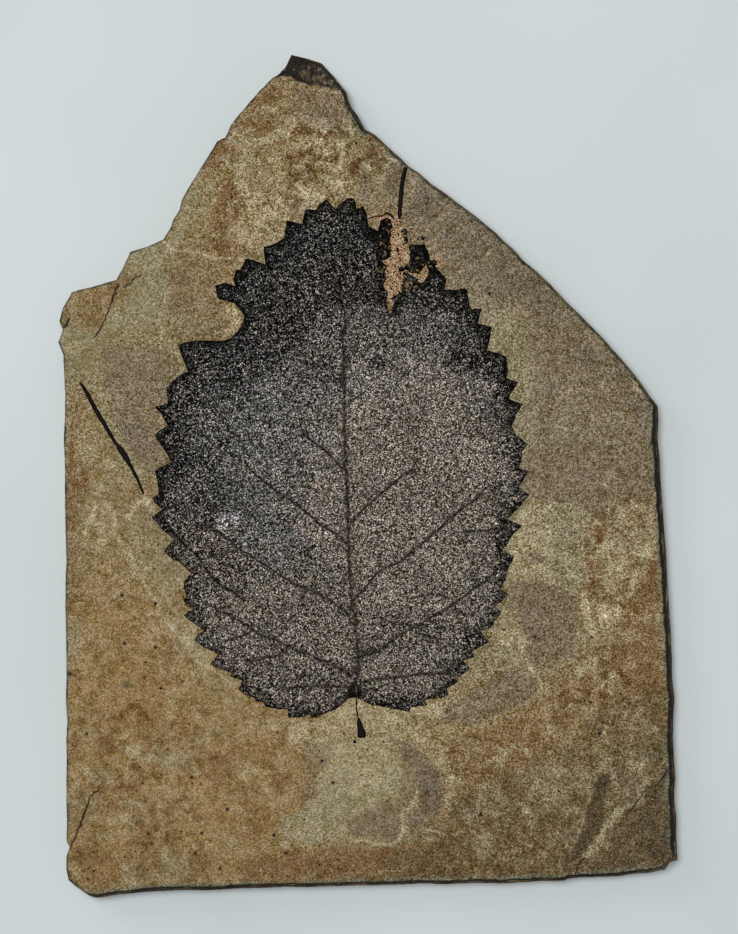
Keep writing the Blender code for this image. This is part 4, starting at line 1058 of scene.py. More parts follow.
def ovalShare(points, ovals, seed, softness=0.25):
    # how far each point lies inside given soft ovals
    share = np.zeros(len(points))
    warp = 0.3 * noiseAt(points, 5.0, seed) + 0.2 * noiseAt(points, 1.7, seed + 3.0)
    for x, y, halfWidth, halfHeight, turn, strength in ovals:
        c, s = math.cos(math.radians(turn)), math.sin(math.radians(turn))
        across = ((points[:, 0] - x) * c + (points[:, 1] - y) * s) / halfWidth
        along = ((points[:, 1] - y) * c - (points[:, 0] - x) * s) / halfHeight
        reach = np.hypot(across, along) + warp
        share = np.maximum(share, strength * (1 - smoothStep(reach, 1 - softness, 1 + 0.8 * softness)))
    return share


def patchShare(points, outline, softness):
    # how far each point lies inside a drawn outline with a soft edge
    share = np.zeros(len(points))
    low, high = np.min(outline, axis=0) - 2, np.max(outline, axis=0) + 2
    near = np.flatnonzero(((points > low) & (points < high)).all(axis=1))
    if len(near):
        away = distanceTo(points[near], outline + outline[:1], 0.2)
        signed = np.where(insideOutline(points[near], outline), away, -away)
        share[near] = smoothStep(signed, -softness, softness)
    return share


def besideLine(line, step, offsets):
    # points along a line and beside it, for relief too narrow for the grid
    dense = resampled(line, step)
    along = np.gradient(dense, axis=0)
    across = np.stack([-along[:, 1], along[:, 0]], axis=1) / np.hypot(*along.T)[:, None]
    return np.concatenate([dense + across * offset for offset in offsets])


def subdivided(outline, step, wobble, seed):
    # an outline with its corners kept and its straight runs broken up and shaken a little
    points = []
    for (ax, ay), (bx, by) in zip(outline, [*outline[1:], outline[0]]):
        run = math.hypot(bx - ax, by - ay)
        count = max(1, round(run / step))
        points.append((ax, ay))
        for k in range(1, count):
            x, y = ax + (bx - ax) * k / count, ay + (by - ay) * k / count
            push = wobble * (
                noise.noise(Vector((x / 1.1, y / 1.1, seed)))
                + 0.6 * noise.noise(Vector((x / 0.45, y / 0.45, seed)))
            )
            points.append((x - (by - ay) / run * push, y + (bx - ax) / run * push))
    return points


leafOutline = subdivided(filmOutline("leaf_blade"), 0.36, 0.12, 2.0)
tornPart = ovalShare(np.array(leafOutline), [(6.0, 43.0, 6.0, 10.0, 0, 1.0)], 66.0)[:, None]
leafOutline = [
    tuple(p)
    for p in warped(np.array(leafOutline), 0.9, 0.2, 67.0) * tornPart + np.array(leafOutline) * (1 - tornPart)
]

# the slab's side: the solid's rings, with columns and thin beds between them
rings = slabRings("slab", len(slab["rowsPerRing"]) + 1)
runs = np.hypot(*(np.roll(rings[6], -1, axis=0) - rings[6])[:, :2].T)
columns = [
    (i, k / n)
    for i, n in enumerate(np.maximum(1, np.round(runs / slab["columnStep"])).astype(int))
    for k in range(n)
]
starts = np.array([i for i, share in columns])
shares = np.array([share for i, share in columns])[:, None]
fineRings = [ring[starts] * (1 - shares) + np.roll(ring, -1, axis=0)[starts] * shares for ring in rings]
rows = [fineRings[0]]
for below, above, count in zip(fineRings, fineRings[1:], slab["rowsPerRing"]):
    rows += [below + (above - below) * (k + 1) / count for k in range(count)]
rows = np.array(rows)
flow = sum(
    np.roll(fineRings[6][:, :2], -k, axis=0) - np.roll(fineRings[6][:, :2], k, axis=0) for k in (1, 2, 3)
)
outwards = np.stack([flow[:, 1], -flow[:, 0]], axis=1) / np.hypot(*flow.T)[:, None]
belt = fineRings[6][:, :2]
chip = np.maximum(0, noiseAt(belt, 3.4, 8.0)) * 1.1 + np.maximum(0, noiseAt(belt, 1.1, 8.6)) * 0.8
for r in range(len(rows)):
    bed = math.floor(r / 2)  # two rows make one thin bed
    inset = (
        0.2 * np.abs(noiseAt(belt, 7.0, bed * 3.7))
        + 0.1 * np.abs(noiseAt(belt, 1.2, bed * 5.9 + 0.5 * (r % 2)))
    )
    topShare = smoothStep(np.full(len(belt), r / (len(rows) - 1)), 0.8, 1.0)
    inset = inset * (1 - topShare) + slab["chipDepth"] * chip * topShare
    rows[r, :, :2] -= outwards * inset[:, None]
rim = rows[-1][:, :2]
rimOutline = [tuple(p) for p in rim]

# the bedding plane: an even scatter of points, thin under the leaf and close along cracks, pits and scarps
candidates = honeycomb(rim, slab["gridStep"], 0.22, 5)
candidates = candidates[insideOutline(candidates, rimOutline)]
underLeaf = (
    insideOutline(candidates, leafOutline)
    & (distanceTo(candidates, leafOutline + leafOutline[:1], 0.2) > 1.0)
)
underPoints = honeycomb(rim, slab["coarseStep"], 0.2, 6)
underPoints = underPoints[insideOutline(underPoints, leafOutline)]
underPoints = underPoints[distanceTo(underPoints, leafOutline + leafOutline[:1], 0.2) > 1.6]
steepAt = np.where(
    (outwards[:, 0] > 0.9) & (belt[:, 1] < 15.5) & (belt[:, 1] > -76), slab["steepWidth"]["right"], 0.0,
)
steepAt = np.maximum(steepAt, np.where(outwards[:, 1] < -0.85, slab["steepWidth"]["near"], 0.0))
besideTip = (outwards[:, 0] > 0.45) & (belt[:, 0] > -9.6) & (belt[:, 1] > 69.0)
steepAt = np.maximum(steepAt, np.where(besideTip, slab["steepWidth"]["tip"], 0.0))
steepAt = (
    (np.roll(steepAt, 1) + steepAt + np.roll(steepAt, -1)) / 3 * (0.96 + 0.14 * noiseAt(belt, 3.0, 19.0))
)
steepPoints = np.concatenate([rim - outwards * (steepAt * part)[:, None] for part in (0.5, 0.86, 1.06)])
steepPoints = steepPoints[np.tile(steepAt, 3) > 0.15]
crackPoints = np.concatenate(
    [
        besideLine(line, 0.22, (-1.3 * wide, -0.6 * wide, 0.0, 0.6 * wide, 1.3 * wide))
        for wide, line in cracks.values()
    ]
)
scarpPoints = np.concatenate(
    [besideLine(flake["line"], 0.3, (-0.35, -0.1, 0.15, 0.4)) for flake in lostFlakes.values()]
)
pitSizes = random.Random(4)
pitRadii = [pitSizes.uniform(0.22, 0.42) for pit in pits]
pitPoints = []
for (x, y), radius in zip(pits, pitRadii):
    pitPoints.append((x, y))
    for k in range(7):
        turn = 2 * math.pi * k / 7
        pitPoints.append((x + 0.6 * radius * math.cos(turn), y + 0.6 * radius * math.sin(turn)))
        pitPoints.append((x + 1.15 * radius * math.cos(turn + 0.4), y + 1.15 * radius * math.sin(turn + 0.4)))
seamPoints = np.concatenate([besideLine(line, 0.34, (-0.9 * wide, 0.0, 0.9 * wide)) for wide, line in seams])
closePoints = np.concatenate([crackPoints, scarpPoints, pitPoints, steepPoints, seamPoints])
closeTree = pointTree(closePoints)
openPoints = candidates[~underLeaf]
openPoints = openPoints[[closeTree.find((x, y, 0))[2] > 0.2 for x, y in openPoints]]
inner = np.concatenate([openPoints, underPoints, closePoints])
inner = inner[insideOutline(inner, rimOutline)]
inner = inner[distanceTo(inner, rimOutline + rimOutline[:1], 0.1) > 0.14]
rimTree = pointTree(rimOutline)
topPlan, topFaces, origins = triangulated(rimOutline, inner)
print(f"bedding plane: {len(topPlan)} points, {len(topFaces)} triangles")


def rockShape(points):
    # height and material tones of the bare rock
    height = beddingHeight(points)
    bare = np.where(insideOutline(points, leafOutline), 0.0, 1.0)
    bare *= smoothStep(distanceTo(points, leafOutline + leafOutline[:1], 0.15), 0.0, 0.6)
    torn = ovalShare(points, stains["bareTone"], 3.0)
    bare = np.maximum(bare, 0.6 * torn)
    for length, reach in slab["reliefSizes"]:
        height += bare * reach * noiseAt(points, length, 20.0 + length)
    tones = {
        name: ovalShare(points, ovals, 60.0 + k * 7.0, stainSoftness.get(name, 0.3))
        for k, (name, ovals) in enumerate(stains.items())
    }
    shaken = warped(warped(points, 4.5, 0.7, 81.0), 1.2, 0.22, 83.0)
    for toneName, strength, softness, outline in patches.values():
        share = strength * patchShare(shaken, outline, softness)
        tones[toneName] = np.maximum(tones.get(toneName, 0.0), share)
    shaken = warped(points, 1.4, 0.12, 77.0)
    for halfWidth, line in seams:
        seam = 1 - smoothStep(distanceTo(shaken, line), halfWidth * 0.15, halfWidth)
        tones["creamTone"] = np.maximum(tones["creamTone"], 0.9 * seam)
        height -= 0.05 * seam * bare
    shaken = warped(points, 0.9, 0.12, 78.0)
    openness = smoothStep(noiseAt(points, 2.6, 79.0), -0.55, -0.1)  # a crack opens and closes along its way
    for wide, line in cracks.values():
        away = distanceTo(shaken, line)
        height -= slab["crackDepth"] * openness * (1 - smoothStep(away, 0.0, wide))
        tones["darkTone"] = np.maximum(
            tones["darkTone"], 0.88 * openness * (1 - smoothStep(away, 0.5 * wide, 1.3 * wide)),
        )
    for (x, y), radius in zip(pits, pitRadii):
        away = np.hypot(points[:, 0] - x, points[:, 1] - y)
        height -= slab["pitDepth"] * (1 - smoothStep(away, 0.0, radius))
        tones["darkTone"] = np.maximum(tones["darkTone"], 1 - smoothStep(away, radius * 0.75, radius * 1.3))
    # the dark weathered cap at the pointed end, with rough facets
    cap = lostFlakes["pointedEnd"]
    shaken = warped(points, 1.6, 0.25, 51.0)
    onCap = insideOutline(shaken, cap["line"] + cap["pastEdge"])
    facet = np.abs(noiseAt(points, 2.4, 33.0)) + 0.5 * np.abs(noiseAt(points, 0.9, 34.0))
    height[onCap] -= 0.5 * facet[onCap]
    brown = ovalShare(points, [(-10.4, 80.2, 3.4, 1.7, -20, 1.0), (-7.6, 78.2, 4.2, 1.2, -12, 1.0)], 9.0)
    ragged = smoothStep(noiseAt(points, 0.9, 35.0) + 0.6 * noiseAt(points, 0.4, 36.0), -0.25, 0.2)
    tones["darkTone"][onCap] = (1 - 0.5 * brown * ragged)[onCap]
    tones["rustTone"][onCap] = 0.5
    tones["patchTone"][onCap] = 0.8
    sliver = 1 - smoothStep(distanceTo(shaken, [(-9.4, 82.4), (-8.3, 81.2), (-7.2, 79.8)]), 0.12, 0.4)
    tones["darkTone"] *= 1 - 0.85 * sliver
    # fresh rock where the edge has spalled
    edgeAway = distanceTo(points, rimOutline + rimOutline[:1], 0.1)
    spallWidth = slab["rimWidth"] * np.clip(0.35 + 1.4 * noiseAt(points, 4.2, 15.0), 0.05, 1.6)
    spall = 1 - smoothStep(edgeAway, 0.35 * spallWidth, 1.1 * spallWidth)
    height -= slab["rimDrop"] * spall + 0.1 * (1 - smoothStep(edgeAway, 0, 0.5))
    tones["freshRock"] = np.maximum(spall * np.where(onCap, 0.1, 0.8), sliver)
    # a thin line of painted shadow round the top edge, heavier towards the far right
    farRight = smoothStep(points[:, 0] + 0.9 * points[:, 1], 30.0, 50.0)
    edgeShadowShare = np.clip(0.62 + 0.9 * noiseAt(points, 5.5, 27.0) + 0.3 * farRight, 0.15, 1.0)
    tones["darkTone"] = np.maximum(tones["darkTone"], edgeShadowShare * (1 - smoothStep(edgeAway, 0.12, 0.4)))
    # the steep broken strips on the right, near and tip edges are painted near black, as painted shade
    steep = steepAt[[rimTree.find((x, y, 0))[1] for x, y in points]]
    onSteep = np.where(
        steep > 0.15, 1 - smoothStep(edgeAway, 0.9 * steep, np.maximum(steep, 0.01) * 1.08), 0.0,
    )
    height -= np.where(
        steep > 0.15, slab["steepDrop"] * np.clip(1 - edgeAway / np.maximum(steep, 0.01), 0, 1), 0.0,
    )
    tones["darkTone"] = np.maximum(tones["darkTone"], onSteep)
    pale = (1 - smoothStep(edgeAway - steep, 0.4, 0.85)) * smoothStep(noiseAt(points, 3.2, 23.0), -0.5, 0.0)
    tones["freshRock"] = np.maximum(
        tones["freshRock"], np.where(steep > 0.15, pale * (1 - onSteep) * 0.85, 0.0),
    )
    return height, tones


topHeight, tones = rockShape(topPlan)
outIndex = {source: k for k, sources in enumerate(origins) for source in sources}
rimIndex = [outIndex[i] for i in range(len(rimOutline))]
rows[-1][:, 2] = topHeight[rimIndex]
for r in range(1, len(rows) - 1):  # keep the upper rows under the rim
    rows[r][:, 2] = np.minimum(rows[r][:, 2], rows[-1][:, 2] - 0.1 * (len(rows) - 1 - r))

# the underside: split rock, nearly flat
footOutline = [tuple(p) for p in rows[0][:, :2]]
footInner = honeycomb(rows[0][:, :2], 4.0, 0.3, 8)
footInner = footInner[insideOutline(footInner, footOutline)]
footInner = footInner[distanceTo(footInner, footOutline + footOutline[:1], 0.3) > 1.2]
footPlan, footFaces, footOrigins = triangulated(footOutline, footInner)
footIndex = {source: k for k, sources in enumerate(footOrigins) for source in sources}
footHeight = 0.14 * np.abs(noiseAt(footPlan, 11.0, 4.0))
footHeight[[footIndex[i] for i in range(len(footOutline))]] = 0.0

points = [np.column_stack([topPlan, topHeight])]
faces = [tuple(face) for face in topFaces]
first = len(topPlan)
ringBelow = []
for r in range(len(rows) - 2, -1, -1):  # down the side, from just under the rim to the foot
    ringBelow.append(list(range(first, first + len(belt))))
    points.append(rows[r])
    first += len(belt)
ring = rimIndex
for lower in ringBelow:
    for i in range(len(ring)):
        j = (i + 1) % len(ring)
        faces += [(ring[i], lower[i], lower[j]), (ring[i], lower[j], ring[j])]
    ring = lower
footPlace = {k: ring[source] for source, k in footIndex.items() if source < len(footOutline)}
footNew = [k for k in range(len(footPlan)) if k not in footPlace]
for n, k in enumerate(footNew):
    footPlace[k] = first + n
points.append(np.column_stack([footPlan[footNew], footHeight[footNew]]))
faces += [tuple(footPlace[k] for k in face[::-1]) for face in footFaces]
points = np.concatenate(points)
extra = len(points) - len(topPlan)
sideTones = {name: np.concatenate([values, np.zeros(extra)]) for name, values in tones.items()}
sideTones["sideFace"] = np.concatenate([np.zeros(len(topPlan)), np.ones(extra)])
upperShare = np.linspace(1, 0, len(rows) - 1)[:, None]  # from just under the rim to the foot
# painted shade down the sides: the upper rows darkened, most along the steep broken edges
shadeSide = sum(np.roll(steepAt > 0.15, k).astype(float) for k in range(-6, 7)) / 13
blotches = np.array([noiseAt(belt, 3.4, 28.0 + 0.28 * k) for k in range(len(rows) - 1)])
steepSideShade = 0.12 + 0.8 * smoothStep(upperShare + 0.5 * blotches, 0.55, 1.0)
paintedSideShade = shadeSide * steepSideShade + (1 - shadeSide) * 0.55 * smoothStep(upperShare + 0.2 * blotches, 0.75, 1.0)
sideTones["darkTone"][len(topPlan) : len(topPlan) + paintedSideShade.size] = paintedSideShade.ravel()
newPiece("shaleSlab", points, faces, shaleMaterial, "shale", ["slab"], sideTones, sharpAngle=50)
print("slab made")


# The leaf and the loose bits of plant: thin films that follow the bedding plane.
leaf = {
    "rise": 0.14,
    "wallDepth": 0.3,  # how far a film's walls reach into the rock
    "gridStep": 0.31,
    "veinRise": 0.05,
    "filmRelief": ((1.0, 0.03), (0.5, 0.022)),  # wavelength and height
}
veins = {
    # a half width at the midrib end, one at the far end, then the line
    "midrib": (0.34, 0.1, [(-2.4, -43.6), (-2.2, -38.8), (-1.9, -34.8), (-2.6, -28.8), (-3.6, -20.8),
        (-3.9, -11.2), (-4.4, 1.2), (-4.8, 12.2), (-4.8, 22.2), (-5, 28), (-4.6, 32)]),
    "right1": (0.26, 0.1, [(-1.2, -41), (1.4, -40.4), (6.4, -40), (10.8, -39.4), (13.8, -39.2), (16.2, -39)]),
    "right2": (0.32, 0.12, [(-2.1, -37), (-0.8, -35.6), (2.2, -34.6), (6.4, -31.6), (9.4, -30), (12.8, -27.9),
                            (15.8, -26.3), (18.4, -24.3), (21.4, -22), (23.2, -21), (25.8, -18.4)]),
    "right2Low": (0.16, 0.08, [(9.4, -31.2), (12.4, -32), (15.4, -32.6)]),
    "right2High": (0.16, 0.08, [(17.2, -26.6), (18.4, -27.2), (19.8, -27.8)]),
    "right3": (0.3, 0.12, [(-3, -24.8), (-0.2, -21.8), (1.6, -19.2), (6.4, -16.8), (8.9, -15), (11.4, -12.8),
                           (14.4, -10.3), (17.2, -7.6), (19.8, -5.6), (21.8, -4.3), (22.9, -2.8)]),
    "right3Low": (0.16, 0.08, [(18.9, -11), (22.9, -11), (27.4, -10.3)]),
    "right4": (0.2, 0.08, [(-3.7, -9.2), (-1.4, -7), (2.2, -3.8), (5.4, -1), (8.4, 1.2), (9.9, 3.2)]),
    "left1": (0.24, 0.1, [(-3.2, -42), (-7.6, -41.9), (-11.6, -41.8), (-17.6, -42.3)]),
    "left2": (0.34, 0.12, [(-3.1, -40), (-5.6, -38.3), (-8.6, -37), (-11.6, -35.6), (-14.4, -34.6),
        (-16.4, -33.7), (-19.1, -32.3), (-21.6, -31.6), (-23.1, -30.3), (-25.1, -29.3), (-27.6, -27.8),
        (-30.1, -26.6), (-32.4, -25.3)]),
    "left2Low": (0.18, 0.08, [(-16.4, -34.8), (-19.1, -36), (-23.1, -36.6), (-24.6, -36.8)]),
    "left2Mid": (0.16, 0.08, [(-23.4, -31), (-25.6, -32), (-28.6, -33)]),
    "left3": (0.34, 0.12, [(-3.6, -28), (-4.8, -26.8), (-7.1, -25), (-9.6, -23.6), (-13.6, -22),
        (-16.6, -20.3), (-19.6, -18.3), (-22.6, -16.3), (-26.1, -14.3), (-28.6, -12), (-31.6, -10),
        (-34.2, -9.6)]),
    "left3Low": (0.16, 0.08, [(-26.6, -15), (-29.6, -15.3), (-31.6, -16)]),
    "left4": (0.3, 0.1, [(-4, -13.8), (-5.1, -12.3), (-7.6, -10.8), (-9.6, -9.6), (-11.6, -7.8),
        (-14.1, -5.8), (-17.1, -3.8), (-19.6, -2), (-21.6, -0.3), (-23.6, 1.2), (-24.6, 3.2)]),
    "left5": (0.18, 0.08, [(-5, 1.4), (-8.6, 5.2), (-11.1, 7), (-13.6, 9.2)]),
}
leafTones = {
    # middle x and y, half width and half height, turn in degrees, strength
    "filmLight": [ (6, -2, 22, 30, 0, 1), (-16, 2, 13, 20, 0, 0.68), (-24, 4, 12, 16, 0, 0.4),
        (-10, 22, 6, 6, 0, 0.42), (-22, -13, 8, 6, -30, 0.62), (23, -24, 6, 8, 0, 0.7),
        (-8, -43, 12, 4.4, 0, 0.6), (11, -42.6, 10, 4, 0, 0.4), (25, 9, 4, 8, 0, 0.45),
        (-21.8, 1.2, 5, 5, 0, 0.85), (-14, -28, 18, 14, 20, 0.74), (6, -36, 16, 8, 0, 0.75),
        (-33, -17, 8, 11, 20, 0.44), (-38, -6, 4, 5, 0, 0.36), (-28, -32, 9, 8, -30, 0.75),
        (-28, -9.4, 2.4, 2, 0, 1), (4, 28, 16, 6, 0, 0.5), ],
    "filmWarm": [(10, -10, 24, 34, 0, 0.9), (-33, -20, 10, 14, 0, 1), (0, -42, 26, 6, 0, 1),
        (-14, -32, 24, 14, 20, 1), (-2, 30, 20, 14, 0, 0.4)],
    "marginShade": [(0, 36, 60, 30, 0, 1), (-42, 6, 12, 16, 0, 0.8), (0, -20, 60, 40, 0, 0.42)],
    "veinTone": [
        (-2.8, -42.8, 1.5, 1.7, 0, 1), (-27.4, -9.8, 0.6, 0.5, 0, 1), (-28.2, -8.8, 0.4, 0.6, 0, 1),
        (-29.6, -9.4, 0.3, 0.3, 0, 1),
        (-26.3, -22.8, 1.6, 0.8, -35, 0.5), (3, 49.4, 3.2, 4, 0, 0.9), (12.6, 43.4, 3.6, 4.4, 20, 0.9),
        (3, 44.6, 1.6, 2.6, 0, 0.8), (4.3, 33.6, 0.5, 2.6, 0, 0.9),
    ],
    "chalk": [
        (-28, -9.2, 2.4, 1.4, 20, 0.75), (-24.5, 17, 7, 11, 0, 0.06),
    ],
    "wornShare": [
        (5, 45.4, 4.4, 8, 0, 0.6), (10.4, 41, 5, 3, 20, 0.6), (4.4, 34.4, 0.9, 3.4, 0, 0.78),
        (8, 38.2, 2.2, 1.6, 0, 0.7),
        (-6.4, 51.8, 1, 1, 0, 0.4),
    ],
}
marginCrack = [
    (-40.6, -8.8), (-38.1, -12.3), (-34.1, -15.8), (-31.6, -19.6), (-29.1, -22.0), (-26.6, -23.3),
    (-24.6, -24.8),
]


def makeFilm(name, outline, gridStep, surface, material, slot, replaces=(), seed=1):
    # a closed film: a fine top, upright walls that reach into the rock, and a back
    low = honeycomb(np.array(outline), gridStep, 0.22, seed)
    low = low[insideOutline(low, outline)]
    edge = outline + outline[:1]
    low = low[distanceTo(low, edge, 0.1) > 0.45 * gridStep]
    plan, filmFaces, filmOrigins = triangulated(outline, low)
    height, tones = surface(plan, distanceTo(plan, edge, 0.06))
    index = {source: k for k, sources in enumerate(filmOrigins) for source in sources}
    loop = [index[i] for i in range(len(outline))]
    backPlan, backFaces, backOrigins = triangulated(outline, [])
    backHeight = beddingHeight(backPlan) - leaf["wallDepth"]
    faces = [tuple(face) for face in filmFaces]
    backAt = {source: k + len(plan) for k, sources in enumerate(backOrigins) for source in sources}
    for i in range(len(loop)):
        j = (i + 1) % len(loop)
        faces += [(loop[i], backAt[i], backAt[j]), (loop[i], backAt[j], loop[j])]
    faces += [tuple(k + len(plan) for k in face[::-1]) for face in backFaces]
    points = np.concatenate([np.column_stack([plan, height]), np.column_stack([backPlan, backHeight])])
    tones = {key: np.concatenate([values, np.zeros(len(backPlan))]) for key, values in tones.items()}
    return newPiece(name, points, faces, material, slot, replaces, tones, sharpAngle=50)


def leafSurface(points, away):
    height = beddingHeight(points) + leaf["rise"]
    for length, reach in leaf["filmRelief"]:
        height += reach * noiseAt(points, length, 90.0 + length)
    height -= 0.09 * (1 - smoothStep(away, 0.0, 0.4))
    tones = {
        name: ovalShare(points, ovals, 130.0 + 5 * k) for k, (name, ovals) in enumerate(leafTones.items())
    }
    broken = smoothStep(noiseAt(points, 1.5, 18.0) + 0.5 * noiseAt(points, 0.6, 19.0), -0.5, 0.25)
    for name, (rootWidth, tipWidth, line) in veins.items():
        offVein = distanceTo(points, line, 0.15)
        beside = 1 - smoothStep(offVein, 0.1, 0.6)
        height += leaf["veinRise"] * beside
        band = 0.6 if name == "midrib" else 0.25
        dark = (0.35 + band) * (1 - smoothStep(offVein, 0.15, 0.3 + band))
        tones["veinTone"] = np.maximum(tones["veinTone"], dark * (0.2 + 0.8 * broken))
    crack = distanceTo(warped(points, 0.8, 0.08, 17.0), marginCrack, 0.1)
    height -= 0.12 * (1 - smoothStep(crack, 0.0, 0.3))
    tones["veinTone"] = np.maximum(tones["veinTone"], 1 - smoothStep(crack, 0.12, 0.4))
    tones["marginDistance"] = away
    return height, tones


def fragmentSurface(rise, reach):
    # the rounded back of a needle, stalk or crumb
    def surface(points, away):
        rounded = np.sqrt(np.clip(away / reach, 0, 1))
        height = beddingHeight(points) + 0.02 + rise * rounded + 0.04 * noiseAt(points, 0.6, 61.0) * rounded
        return height, {"marginDistance": away}
    return surface


def slimmed(outline, spine, share, startY, endY):
    # an outline drawn in towards a line inside it, from one y down to another
    dense = resampled(spine, 0.1)
    pulled = []
    for x, y in outline:
        nearX, nearY = dense[np.argmin(np.hypot(dense[:, 0] - x, dense[:, 1] - y))]
        pull = share * float(smoothStep(startY - y, 0.0, startY - endY))
        pulled.append((x + pull * (nearX - x), y + pull * (nearY - y)))
    return pulled


makeFilm(
    "leafFilm", leafOutline, leaf["gridStep"], leafSurface, filmMaterial, "leaf_film", ["leaf_blade"], 12,
)
print("leaf film made")

fragments = {
    # outline, how finely it is broken up, rise, material, slot and the solid it stands for
    "needleLeft": (filmOutline("needle_left"), 0.2, 0.2, coalMaterial, "plant_fragment", ["needle_left"]),
    "needleTop": (filmOutline("needle_top"), 0.2, 0.2, coalMaterial, "plant_fragment", ["needle_top"]),
    "leafStalk": (filmOutline("leaf_stalk"), 0.2, 0.2, coalMaterial, "plant_fragment", ["leaf_stalk"]),
    "tipSpeck": (filmOutline("tip_speck"), 0.16, 0.1, filmMaterial, "leaf_film", ["tip_speck"]),
}
leftNeedleSpine = [(-50.4, 6.6), (-49.3, 5.2), (-48.1, 3.4), (-46.9, 1.4), (-45.8, -0.8), (-44.6, -3.7)]
for name, (outline, step, rise, material, slotName, stoodFor) in fragments.items():
    if name == "needleTop":
        # its far end runs on nearly to the slab's broken edge, where the solid stops short
        outline = [(x + 0.2 * max(0, y - 55) / 5.75, y + 1.3 * max(0, y - 55) / 5.75) for x, y in outline]
    if name == "needleLeft":  # below its thick middle it thins to a straight thread
        outline = slimmed(outline, leftNeedleSpine, 0.3, 4.8, 2.2)
    outline = subdivided(outline, step, 0.09, 4.0)
    makeFilm(name, outline, step, fragmentSurface(rise, 0.32), material, slotName, stoodFor, 3)

# Bits of film left at the torn tip, beside the stalk and along the lost margin.
flakes = {
    "marginTrace": [(0, 51.5), (1.3, 52), (2.4, 52), (3.8, 52.7), (4.6, 52.3), (5.3, 51.2), (5.1, 51),
                    (4.4, 51.9), (3.7, 52.3), (2.4, 51.7), (1.3, 51.7), (0.2, 51.3)],
    "stripBit": [(6.9, 47.7), (7.7, 47.9), (8, 47), (7.7, 46.3), (7.1, 46.4), (7.2, 47)],
    "stripCrumb": [(5.6, 45.6), (6.1, 45.5), (6.2, 44.9), (5.9, 44.6), (5.6, 45)],
    "tipCrumb": [(9.8, 47.6), (10.2, 47.4), (10, 47), (9.7, 47.2)],
    "tearClump": [(6.8, 40.6), (7.6, 40.9), (8.4, 40.2), (9.2, 39.8), (10, 39.4), (9.8, 38.6), (9, 38.8),
        (8.6, 38), (9.4, 37.6), (8.8, 37), (8, 37.4), (7.4, 38), (6.8, 38.6), (7.2, 39.4)],
    "tearFootLeft": [(3.2, 37.4), (3.8, 37), (4, 36.2), (3.6, 35.6), (3, 36.2)],
    "tearFootRight": [(4.6, 35.6), (5.2, 36), (5.8, 36.2), (6.2, 37), (6.6, 36.6), (6.6, 35.4), (5.8, 34.8),
        (4.8, 34.8)],
    "stripSpeck": [(10.6, 47.8), (11.2, 47.8), (11.3, 47.2), (10.8, 47), (10.5, 47.3)],
    "stalkThread": [(-2.5, -44.4), (-2.2, -44.5), (-2.2, -46.4), (-1.9, -47.8), (-2.2, -47.9), (-2.5, -46.4)],
    "stalkDot": [(-2.9, -52.6), (-2.4, -52.7), (-2.4, -53.2), (-2.8, -53.3), (-3, -53)],
}
for name, outline in flakes.items():
    clockwise = sum(
        (bx - ax) * (by + ay) for (ax, ay), (bx, by) in zip(outline, outline[1:] + outline[:1])
    ) > 0
    outline = subdivided(outline[::-1] if clockwise else outline, 0.16, 0.06, 7.0)
    makeFilm(name, outline, 0.16, fragmentSurface(0.1, 0.2), filmMaterial, "leaf_film", (), 9)
print("fragments made")


# Geometry Nodes: ribs drawn along lines, and grains scattered over a surface.

def newTree(name, sizes):
    # a geometry tree with named inputs: {name: (socket type, value)}
    tree = bpy.data.node_groups.new(name, "GeometryNodeTree")
    tree.interface.new_socket("Geometry", in_out="INPUT", socket_type="NodeSocketGeometry")
    for label, (kind, value) in sizes.items():
        socket = tree.interface.new_socket(label, in_out="INPUT", socket_type=kind)
        if value is not None:
            socket.default_value = value
    tree.interface.new_socket("Geometry", in_out="OUTPUT", socket_type="NodeSocketGeometry")
    return tree, addNode(tree, "NodeGroupInput").outputs


def grownPiece(name, source, tree, values, slot):
    # runs a tree on a source object and keeps the result as a plain mesh
    modifier = source.modifiers.new(name, "NODES")
    modifier.node_group = tree
    for item in tree.interface.items_tree:
        if item.in_out == "INPUT" and item.name in values:
            modifier[item.identifier] = values[item.name]
    graph = bpy.context.evaluated_depsgraph_get()
    mesh = bpy.data.meshes.new_from_object(source.evaluated_get(graph), depsgraph=graph)
    mesh.name = name
    source.modifiers.remove(modifier)
    return settle(newObject(name, mesh), slot)


ribTree, given = newTree("pressedRib", {
    "Rib Width": ("NodeSocketFloat", 0.001),
    "Rib Height": ("NodeSocketFloat", 0.0004),
    "Step": ("NodeSocketFloat", 0.0004),
    "Sides": ("NodeSocketInt", 8),
    "Material": ("NodeSocketMaterial", None),
})
evened = addNode(
    ribTree, "GeometryNodeResampleCurve", {"Curve": given["Geometry"], "Length": given["Step"]},
    mode="LENGTH",
)
upright = addNode(ribTree, "GeometryNodeSetCurveNormal", {"Curve": evened.outputs["Curve"]}, mode="Z_UP")
circle = addNode(ribTree, "GeometryNodeCurvePrimitiveCircle", {"Resolution": given["Sides"], "Radius": 0.5})
flat = addNode(ribTree, "ShaderNodeCombineXYZ", {"X": given["Rib Width"], "Y": given["Rib Height"], "Z": 1.0})
section = addNode(
    ribTree, "GeometryNodeTransform", {"Geometry": circle.outputs["Curve"], "Scale": flat.outputs["Vector"]},
)
ribs = addNode(
    ribTree, "GeometryNodeCurveToMesh",
    {"Curve": upright.outputs["Curve"], "Profile Curve": section.outputs["Geometry"], "Fill Caps": True},
)
whole = addNode(ribTree, "GeometryNodeRealizeInstances", {"Geometry": ribs.outputs["Mesh"]})
painted = addNode(
    ribTree, "GeometryNodeSetMaterial",
    {"Geometry": whole.outputs["Geometry"], "Material": given["Material"]},
)
addNode(ribTree, "NodeGroupOutput", {"Geometry": painted.outputs["Geometry"]})

